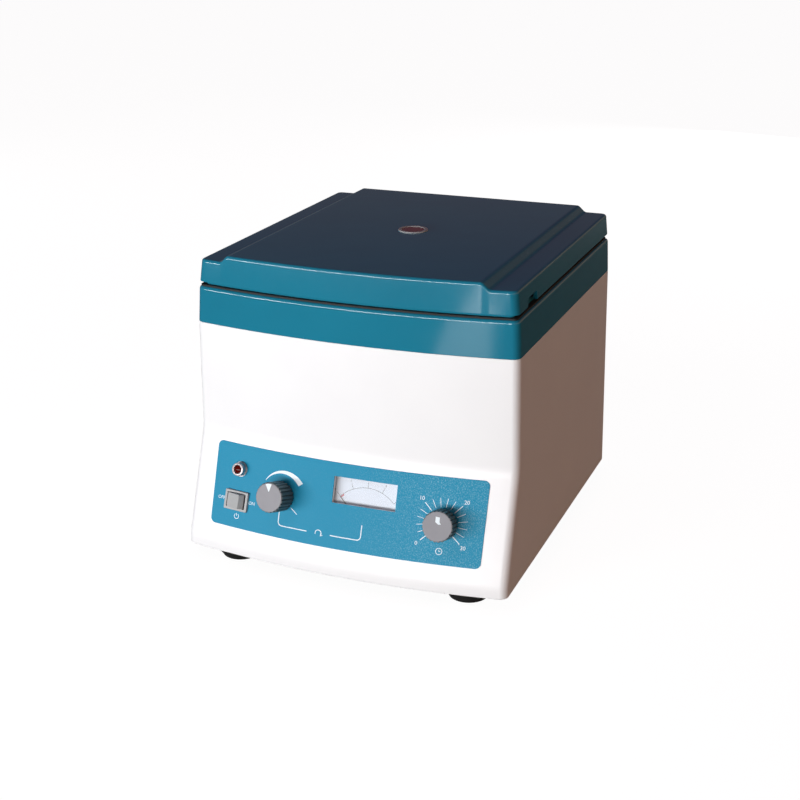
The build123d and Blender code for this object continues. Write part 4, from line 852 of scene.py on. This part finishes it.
# Speed scale: a crescent that widens clockwise, and an end mark at the lower right.
speed_middle = (SPEED_X, SPEED_RISE / cos(slope))
CRESCENT_START, CRESCENT_END = 145.0, 35.5
CRESCENT_INNER, CRESCENT_THIN, CRESCENT_WIDE = 17.9, 0.3, 4.4
SCALE_INNER, SCALE_OUTER, SCALE_MAIN = 12.6, 19.6, 20.6
crescent = bmesh.new()
bmesh.ops.create_grid(crescent, x_segments=32, y_segments=1, size=0.5)
for vert in crescent.verts:
    along = vert.co.x + 0.5
    outward = vert.co.y + 0.5
    radius = CRESCENT_INNER + outward * (CRESCENT_THIN + (CRESCENT_WIDE - CRESCENT_THIN) * along)
    angle = CRESCENT_START + (CRESCENT_END - CRESCENT_START) * along
    vert.co = (*polar(speed_middle, radius, angle), PANEL_T)
thicken(crescent, (0, 0, INK_T / 2))
join(printing, crescent)
ink_line(printing, [polar(speed_middle, end, -36) for end in (SCALE_INNER, SCALE_OUTER)], LINE)

# Bracket that ties the speed knob to the meter, with a gap for a symbol in its lower run.
BRACKET_LEFT, BRACKET_RIGHT = -51.65, 19.1
BRACKET_FOOT, BRACKET_R = 32.6, 3.2
left_leg = arc((BRACKET_LEFT + BRACKET_R, BRACKET_FOOT + BRACKET_R), BRACKET_R, 180, 270, 8)
ink_line(printing, [(BRACKET_LEFT, 43.3)] + left_leg + [(-26.3, BRACKET_FOOT)], BOLD_LINE)
right_leg = arc((BRACKET_RIGHT - BRACKET_R, BRACKET_FOOT + BRACKET_R), BRACKET_R, 270, 360, 8)
ink_line(printing, [(-6.15, BRACKET_FOOT)] + right_leg + [(BRACKET_RIGHT, 44.4)], BOLD_LINE)

# Timer scale: sixteen marks two minutes apart, longer and bolder every ten.
timer_middle = (81.2, 51.1 / cos(slope))
SCALE_START, SCALE_SWEEP = 223.0, 266.0
for mark in range(16):
    angle = SCALE_START - SCALE_SWEEP * mark / 15
    main = mark % 5 == 0
    ends = (SCALE_INNER, SCALE_MAIN if main else SCALE_OUTER)
    ink_line(printing, [polar(timer_middle, radius, angle) for radius in ends],
             0.6 if main else 0.42)
    if main:
        ink_text(printing, str(mark * 2), polar(timer_middle, 24.6, angle), 3.0)

# Switch positions, and round-arrow, clock and power symbols in place of words.
ink_text(printing, "OFF", (-105.85, 44.25), 2.6)
ink_text(printing, "ON", (-77.2, 44.65), 2.6)
power_middle = (-90.1, 32.2)
ink_line(printing, arc(power_middle, 2.0, 125, 415, 16), FINE_LINE)
ink_line(printing, [power_middle, (power_middle[0], power_middle[1] + 2.4)], FINE_LINE)
turn_middle, TURN_R = (-16.2, BRACKET_FOOT), 2.6
ink_line(printing, arc(turn_middle, TURN_R, 200, -40, 18), LINE)
tip = polar(turn_middle, TURN_R, -40)
ink_line(printing, [(tip[0] + 1.7, tip[1] + 0.7), tip, (tip[0] + 0.3, tip[1] + 2.1)], LINE)
clock_middle = (81.4, 32.95)
ink_line(printing, arc(clock_middle, 2.4, 0, 360, 24), FINE_LINE)
ink_line(printing, [(clock_middle[0], clock_middle[1] + 1.6), clock_middle,
                    (clock_middle[0] + 1.2, clock_middle[1])], 0.45)
wrap_on_panel(printing)
enter(printing, "panel_print", white_ink, "housing", slot="dial_card")


# -------- lamp
# Red indicator lamp: a domed moulded lens in a plated brass bezel, pushed in from the front and
# held from behind by its own spread tail.

# Satin chrome plate: a grey metal whose glints are wide and soft.
chrome_plate = new_finish("chrome_plate", "#b3adae", Metallic=1.0)
vary_gloss(chrome_plate, 0.46, 0.58, 3.0)
raise_grain(chrome_plate, 0.8, 0.006)

# Tinted acrylic, unlit: deep red, polished.
red_lens = new_finish("red_lens", "#4c0a07", Roughness=0.1, Specular_IOR_Level=0.12)
mottle(red_lens, "#560d09", "#420805", 2.0)
vary_gloss(red_lens, 0.06, 0.14, 2.0)
LAMP_R, LAMP_LENS_R, LAMP_PROUD, LAMP_RIM = 5.35, 3.2, 5.5, 0.7
LAMP_TAIL, LAMP_SEAT, DOME_RISE = -14.0, -7.0, 1.3
face = PANEL_T + LAMP_PROUD
enter(turned([
    (4.0, LAMP_TAIL), (4.0, PANEL_T), (LAMP_R + LAMP_RIM, PANEL_T),
    (LAMP_R + LAMP_RIM, PANEL_T + 0.5), (LAMP_R + 0.5, PANEL_T + LAMP_RIM),
    (LAMP_R, PANEL_T + LAMP_RIM), (LAMP_R, face - 0.8), (LAMP_R - 0.25, face - 0.25),
    (LAMP_R - 0.8, face), (LAMP_LENS_R + 0.6, face), (LAMP_LENS_R + 0.05, face - 0.5),
    (LAMP_LENS_R + 0.05, LAMP_SEAT), (2.0, LAMP_SEAT), (2.0, LAMP_TAIL),
], LAMP), "lamp_ring", chrome_plate, "housing", "lamp_bezel")
dome = [(LAMP_LENS_R * cos(turn), face - DOME_RISE + DOME_RISE * sin(turn))
        for turn in (radians(10 * step) for step in range(9))]
lens = [(0, LAMP_SEAT), (LAMP_LENS_R, LAMP_SEAT)] + dome + [(0, face)]
enter(turned(lens, LAMP, closed=False), "lamp_dome", red_lens, "housing", "lamp_lens")


# -------- power switch
# Snap-in rocker switch: a pale frame with a sloping bezel, and a rocker with two scooped halves
# that tips about nubs in the frame's walls.
SWITCH_WIDTH, SWITCH_HEIGHT, SWITCH_FLANGE = 21.5, 15.8, 2.0
SWITCH_BOX, SWITCH_BACK = (19.2, 13.6, 15.8), -15.0
POCKET, POCKET_BACK = (17.4, 12.0, 14.0), -7.1
bezel = slab((SWITCH_WIDTH, SWITCH_HEIGHT, SWITCH_FLANGE), (0, 0, PANEL_T + SWITCH_FLANGE / 2))
round_edges(bezel, edges_along(bezel, 2), 0.9, 4)
round_edges(bezel, rim_edges(bezel, PANEL_T + SWITCH_FLANGE), 0.55, 3)
box_part = slab(SWITCH_BOX, (0, 0, SWITCH_BACK + SWITCH_BOX[2] / 2))
pocket = slab(POCKET, (0, 0, POCKET_BACK + POCKET[2] / 2))
round_edges(pocket, edges_along(pocket, 2), 0.4, 2)
switch_form = combine(bezel, added=[box_part], cut=[pocket])
move(switch_form, SWITCH)
enter(switch_form, "switch_bezel", pale_plastic, "housing", "switch_frame")

ROCKER_PIVOT = 1.2  # above the shell's wall
ROCKER_TILT = radians(13)  # at rest the OFF end is pressed in
ROCKER_LENGTH, PIN_R, PIN_REACH = 11.4, 1.2, 6.2
rocker = bmesh.new()
profile = [(-6.1, 4.7), (0, 4.45), (6.1, 4.7), (7.9, 0), (3.16, -7.4), (-3.16, -7.4), (-7.9, 0)]
rocker.faces.new([rocker.verts.new((x, -ROCKER_LENGTH / 2, z)) for x, z in profile])
thicken(rocker, (0, ROCKER_LENGTH, 0))
folds = [edge for edge in rocker.edges if edge.calc_face_angle(0) > radians(30)]
round_edges(rocker, folds, 0.45, 3)
pins = post(PIN_R, -PIN_REACH, PIN_REACH, matrix=Matrix.Rotation(radians(90), 4, "X"), segments=24)
rocker = combine(rocker, added=[pins])
tipped = Matrix.Translation((0, 0, ROCKER_PIVOT)) @ Matrix.Rotation(-ROCKER_TILT, 4, "Y")
move(rocker, SWITCH @ tipped)
enter(rocker, "rocker_button", pale_plastic, frame["nodes"]["switch_rocker"]["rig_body"],
      "switch_rocker")


# -------- knobs
# Two push-on knobs: a dark ribbed skirt and a pale grey face cap with a white pointer. The speed
# knob stands tall on its spindle, the timer's sits low.

# Moulded nylon: blue-grey and satin.
dark_plastic = new_finish("dark_plastic", "#506065", Roughness=0.4, IOR=1.5)
mottle(dark_plastic, "#56676c", "#48575b", 5.0)
vary_gloss(dark_plastic, 0.34, 0.48, 3.0)
raise_grain(dark_plastic, 0.5, 0.008)

# Painted cap: even mid grey, nearly dull.
cap_grey = new_finish("cap_grey", "#8b8c92", Roughness=0.4, Specular_IOR_Level=0.15)
mottle(cap_grey, "#909197", "#86878d", 8.0)
vary_gloss(cap_grey, 0.3, 0.42, 4.0)
raise_grain(cap_grey, 0.4, 0.006)
KNOB_R = 11.9
KNOB_FOOT = 1.8  # skirt's foot above the shell's wall
FLUTES, FLUTE_DEPTH = 24, 0.95
CAP_R, CAP_T = 11.15, 0.7
CAP_DISH = 0.06  # how far the cap's face lies below its rim
RECESS_R, RECESS_TOP = 9.0, KNOB_FOOT + 3.7
SOCKET_R = 3.05  # bore for the spindle


def ribbed_skirt(top):
    """Knob's skirt: ribs with round hollows between them, a small chamfer at its top."""
    form = bmesh.new()
    bmesh.ops.create_circle(form, cap_ends=True, segments=FLUTES * 8, radius=KNOB_R)
    for vert in form.verts:
        turn = atan2(vert.co.y, vert.co.x)
        hollow_share = max(0.0, cos(FLUTES * turn)) ** 0.7
        reach = KNOB_R - FLUTE_DEPTH * hollow_share
        vert.co = (reach * cos(turn), reach * sin(turn), KNOB_FOOT)
    foot_face = rim = list(form.faces)[0]
    crown = top - CAP_T
    for shrink, height in ((1.0, crown - 0.5), (0.985, crown - 0.15), (0.95, crown)):
        made = bmesh.ops.extrude_face_region(form, geom=[rim])
        if rim is not foot_face:
            form.faces.remove(rim)
        rim = next(item for item in made["geom"] if isinstance(item, bmesh.types.BMFace))
        for vert in rim.verts:
            vert.co = (vert.co.x * shrink, vert.co.y * shrink, height)
    face_out(form)
    return form


def knob(spot, top, name, body, node, pointer):
    """Skirt, cap and pointer of one knob, all riding with its spindle."""
    skirt = ribbed_skirt(top)
    recess = post(RECESS_R, KNOB_FOOT - 1, RECESS_TOP)
    socket = post(SOCKET_R, KNOB_FOOT - 1, top - 2.8, segments=32)
    skirt = combine(skirt, cut=[recess, socket])
    move(skirt, spot)
    enter(skirt, name + "_skirt", dark_plastic, body, node)
    cap = turned([
        (0, top - CAP_T), (CAP_R, top - CAP_T), (CAP_R, top - 0.35), (CAP_R - 0.12, top - 0.1),
        (CAP_R - 0.4, top), (CAP_R - 1.2, top - CAP_DISH), (0, top - CAP_DISH),
    ], spot, steps=96, closed=False)
    enter(cap, name + "_cap", cap_grey, body, slot="pale_plastic")
    mark = bmesh.new()
    mark.faces.new([mark.verts.new((x, y, top)) for x, y in pointer])
    thicken(mark, (0, 0, -2 * INK_T))
    move(mark, spot)
    enter(mark, name + "_pointer", white_ink, body, slot="dial_card")


SPEED_TOP, TIMER_TOP = 19.5, 17.0
POINTER_TURN = radians(8)
wedge = [Matrix.Rotation(POINTER_TURN, 2) @ Vector(point) for point in (
    (-2.6, 10.2), (-1.3, 10.6), (0, 10.7), (1.3, 10.6), (2.6, 10.2), (0.25, 4.6), (-0.25, 4.6))]
knob(SPEED, SPEED_TOP, "speed_knob", "speed_dial", "speed_knob", wedge)
knob(TIMER, TIMER_TOP, "timer_knob", "timer_dial", "timer_knob",
     [(-1.7, 7.4), (1.5, 7.1), (1.5, 3.4), (2.7, 1.9), (0.6, 1.6), (-1.7, 3.4)])
dress(bright_steel, "speed_spindle", "timer_spindle")
dress(zinc_steel, "speed_control", "timer_body")


# -------- speed meter
# Moving-coil meter: black case behind the wall, clear pane, and a bluish-white printed dial with a
# black needle that rests at the left end of its arc.

# Moulded black plastic: satin, nearly black.
black_plastic = new_finish("black_plastic", "#1c1d1f", Roughness=0.42, IOR=1.5)
mottle(black_plastic, "#222325", "#17181a", 6.0)
vary_gloss(black_plastic, 0.34, 0.5, 4.0)
raise_grain(black_plastic, 0.5, 0.01)

# Clear acrylic pane: see-through, with a faint polished sheen.
clear_plastic = new_finish("clear_plastic", "#f4f8fa", Roughness=0.05, Alpha=0.12)
mottle(clear_plastic, "#f6fafb", "#f1f6f9", 30.0)
vary_gloss(clear_plastic, 0.03, 0.09, 12.0)

# Coated card: bluish white and matt.
dial_card = new_finish("dial_card", "#dde6f2", Roughness=0.6)
mottle(dial_card, "#e1eaf5", "#d7e1ee", 15.0)
raise_grain(dial_card, 0.4, 0.004)

# Printing inks, black and red: thin, dull and even.
black_ink = new_finish("black_ink", "#2a2c30", Roughness=0.5)
mottle(black_ink, "#303236", "#24262a", 2.0)
red_ink = new_finish("red_ink", "#c8343c", Roughness=0.5)
mottle(red_ink, "#cf3b42", "#bd2e36", 2.0)
dress(black_plastic, "meter_case", "meter_movement", "meter_needle")
dress(clear_plastic, "meter_window")
dress(dial_card, "meter_dial")

METER_PIVOT = 27.3  # needle's pivot below the window's middle
ARC_R, ARC_START, ARC_SWEEP = 31.2, 135.0, 90.0
MARK_LENGTH, FIGURE_OUT, HAIRLINE = 4.6, 6.4, 0.3
dial_points = frame["nodes"]["meter_dial"].data.vertices
dial_face = max((METER.inverted() @ (vert.co / MM)).z for vert in dial_points)
pivot = (0, -METER_PIVOT)
dial_scale, zero_mark = bmesh.new(), bmesh.new()
ink_line(dial_scale, arc(pivot, ARC_R, ARC_START, ARC_START - ARC_SWEEP), HAIRLINE, lift=dial_face)
for mark in range(5):
    angle = ARC_START - ARC_SWEEP / 4 * mark
    ink_line(dial_scale, [polar(pivot, ARC_R, angle), polar(pivot, ARC_R + MARK_LENGTH, angle)],
             HAIRLINE, lift=dial_face)
    ink_text(dial_scale, str(mark), polar(pivot, ARC_R + FIGURE_OUT, angle), 1.7, lift=dial_face)
ink_line(zero_mark, arc(pivot, ARC_R - 0.9, ARC_START, ARC_START - 6, 4), 1.1, lift=dial_face)
for print_form in (dial_scale, zero_mark):
    move(print_form, METER)
    face_out(print_form)
enter(dial_scale, "meter_scale", black_ink, "housing", slot="black_plastic")
enter(zero_mark, "meter_zero_mark", red_ink, "housing", slot="red_lens")


# -------- back fittings
# Black moulded mains inlet with three brass pins and a screw-cap fuse holder, side by side in
# their holes through the shell's back.
dress(black_plastic, "power_inlet", "fuse_holder")


# -------- control board
# Speed board on four spacers: transformer, capacitor and finned heat sink on a green laminate of
# glass cloth and resin.

# Solder resist over laminate: green and satin.
board_green = new_finish("board_green", "#1f5a34", Roughness=0.4)
mottle(board_green, "#246239", "#1a4f2d", 5.0)
vary_gloss(board_green, 0.3, 0.5, 4.0)
dress(board_green, "control_board")


# -------- studio
# White paper that runs on out of sight, a wide soft lamp far off at the front left, weak fills
# behind, two dim cards for the gloss, and a camera a little above and to the right of the front.
FLOOR_SIZE = 60.0  # metres
FLOOR_GLOW = 0.95  # leaves a faint shadow under the object


def seen_straight(tree):
    """1 for rays from the camera, also through clear pieces, and 0 for the rest."""
    rays = add(tree, "LightPath").outputs
    return add(tree, "Math", {0: rays["Is Camera Ray"], 1: rays["Is Transmission Ray"]},
               operation="MAXIMUM").outputs[0]


# Matt paper: seen as white, and grey enough to every other ray to keep a soft shadow.
white_floor = bpy.data.materials.new("white_floor")
white_floor.use_nodes = True
tree = white_floor.node_tree
tree.nodes.remove(tree.nodes["Principled BSDF"])
glow_strength = add(tree, "Math", {0: seen_straight(tree), 1: FLOOR_GLOW}, operation="MULTIPLY")
glow = add(tree, "Emission", {"Color": linear("#ffffff"), "Strength": glow_strength})
paper = add(tree, "BsdfDiffuse", {"Color": linear("#7b7a79")})
both = add(tree, "AddShader", {0: glow, 1: paper})
tree.links.new(both.outputs[0], tree.nodes["Material Output"].inputs["Surface"])
floor_form = bmesh.new()
bmesh.ops.create_grid(floor_form, x_segments=1, y_segments=1, size=FLOOR_SIZE / 2)
floor = put("floor", mesh_of(floor_form, "floor"))
floor.data.materials.append(white_floor)

# Room as the gloss sees it: grey low down, dark plum above, with a warm wall low at the right. The
# camera sees plain white.
world = bpy.data.worlds.new("studio")
bpy.context.scene.world = world
world.use_nodes = True
tree = world.node_tree
direction = add(tree, "TexCoord").outputs["Generated"]
parts = add(tree, "SeparateXYZ", {"Vector": direction}).outputs
upward = add(tree, "MapRange", {"Value": parts["Z"], "From Min": 0.05, "From Max": 0.3})
rightward = add(tree, "MapRange", {"Value": parts["X"], "From Min": 0.1, "From Max": 0.8})
low_down = add(tree, "MapRange", {"Value": parts["Z"], "From Min": 0.5, "From Max": 0.2})
warm_wall = add(tree, "Math", {0: rightward, 1: low_down}, operation="MULTIPLY")
LOW_ROOM, HIGH_ROOM = (0.2, 0.2, 0.2, 1), (0.07, 0.032, 0.062, 1)  # linear
WARM_WALL = (0.93, 0.53, 0.28, 1)
room = add(tree, "Mix", {"Factor": upward, TONE_A: LOW_ROOM, TONE_B: HIGH_ROOM}, data_type="RGBA")
ambient = add(tree, "Mix",
              {"Factor": warm_wall, TONE_A: room.outputs[TONE_OUT], TONE_B: WARM_WALL},
              data_type="RGBA")
backdrop = add(tree, "Mix",
               {"Factor": seen_straight(tree), TONE_A: ambient.outputs[TONE_OUT],
                TONE_B: linear("#ffffff")}, data_type="RGBA")
tree.links.new(backdrop.outputs[TONE_OUT], tree.nodes["Background"].inputs["Color"])


def lamp(name, place, aim, size, power, glossy=True):
    """Area lamp at a place, aimed at a point: metres, its width and height, and watts."""
    light = bpy.data.lights.new(name, "AREA")
    light.shape = "RECTANGLE"
    light.size, light.size_y = size
    light.energy = power
    made = put(name, light)
    made.location = place
    made.rotation_euler = (Vector(aim) - Vector(place)).to_track_quat("-Z", "Y").to_euler()
    made.visible_camera = False
    made.visible_glossy = glossy


lamp("key", (-1.228, -3.374, 0.37), (0, 0, 0.12), (4.1, 0.35), 147)
lamp("top", (-0.2, -0.62, 0.75), (0, -0.1, 0.24), (0.2, 0.2), 0.6, glossy=False)
lamp("far_card", (0.055, -1.95, 0.01), (0.055, -1.949, 1.01), (0.15, 1.3), 2.3)
lamp("near_card", (0.03, -1.05, 0.01), (0.03, -1.049, 1.01), (0.16, 0.5), 0.55)
lamp("back_fill", (0.35, 1.9, 0.3), (0, 0, 0.12), (0.9, 0.9), 9, glossy=False)
lamp("left_fill", (-1.9, 0.5, 0.3), (0, 0, 0.12), (0.9, 0.9), 4, glossy=False)


FOCAL_PIXELS = 1388.53  # focal length over the frame's 800 pixels
FRAME_PIXELS = 800
SENSOR = 36.0
CAMERA_SPOT = Vector((406.05, axis_y - 1030.37, 517.2)) * MM
CAMERA_AZIMUTH, CAMERA_ELEVATION = radians(22.1067), radians(20.7137)
CAMERA_ROLL = radians(-0.3569)
away = Vector((sin(CAMERA_AZIMUTH) * cos(CAMERA_ELEVATION),
               -cos(CAMERA_AZIMUTH) * cos(CAMERA_ELEVATION), sin(CAMERA_ELEVATION)))
level_right = (-away).cross(Vector((0, 0, 1))).normalized()
level_up = level_right.cross(-away)
right = cos(CAMERA_ROLL) * level_right + sin(CAMERA_ROLL) * level_up
up = cos(CAMERA_ROLL) * level_up - sin(CAMERA_ROLL) * level_right
view = bpy.data.cameras.new("camera")
view.sensor_width = SENSOR
view.lens = SENSOR * FOCAL_PIXELS / FRAME_PIXELS
view.clip_start, view.clip_end = 0.05, 100
camera = put("camera", view)
camera.matrix_world = (Matrix.Translation(CAMERA_SPOT)
                       @ Matrix((right, up, away)).transposed().to_4x4())
bpy.context.scene.camera = camera
bpy.context.scene.view_settings.view_transform = "Standard"
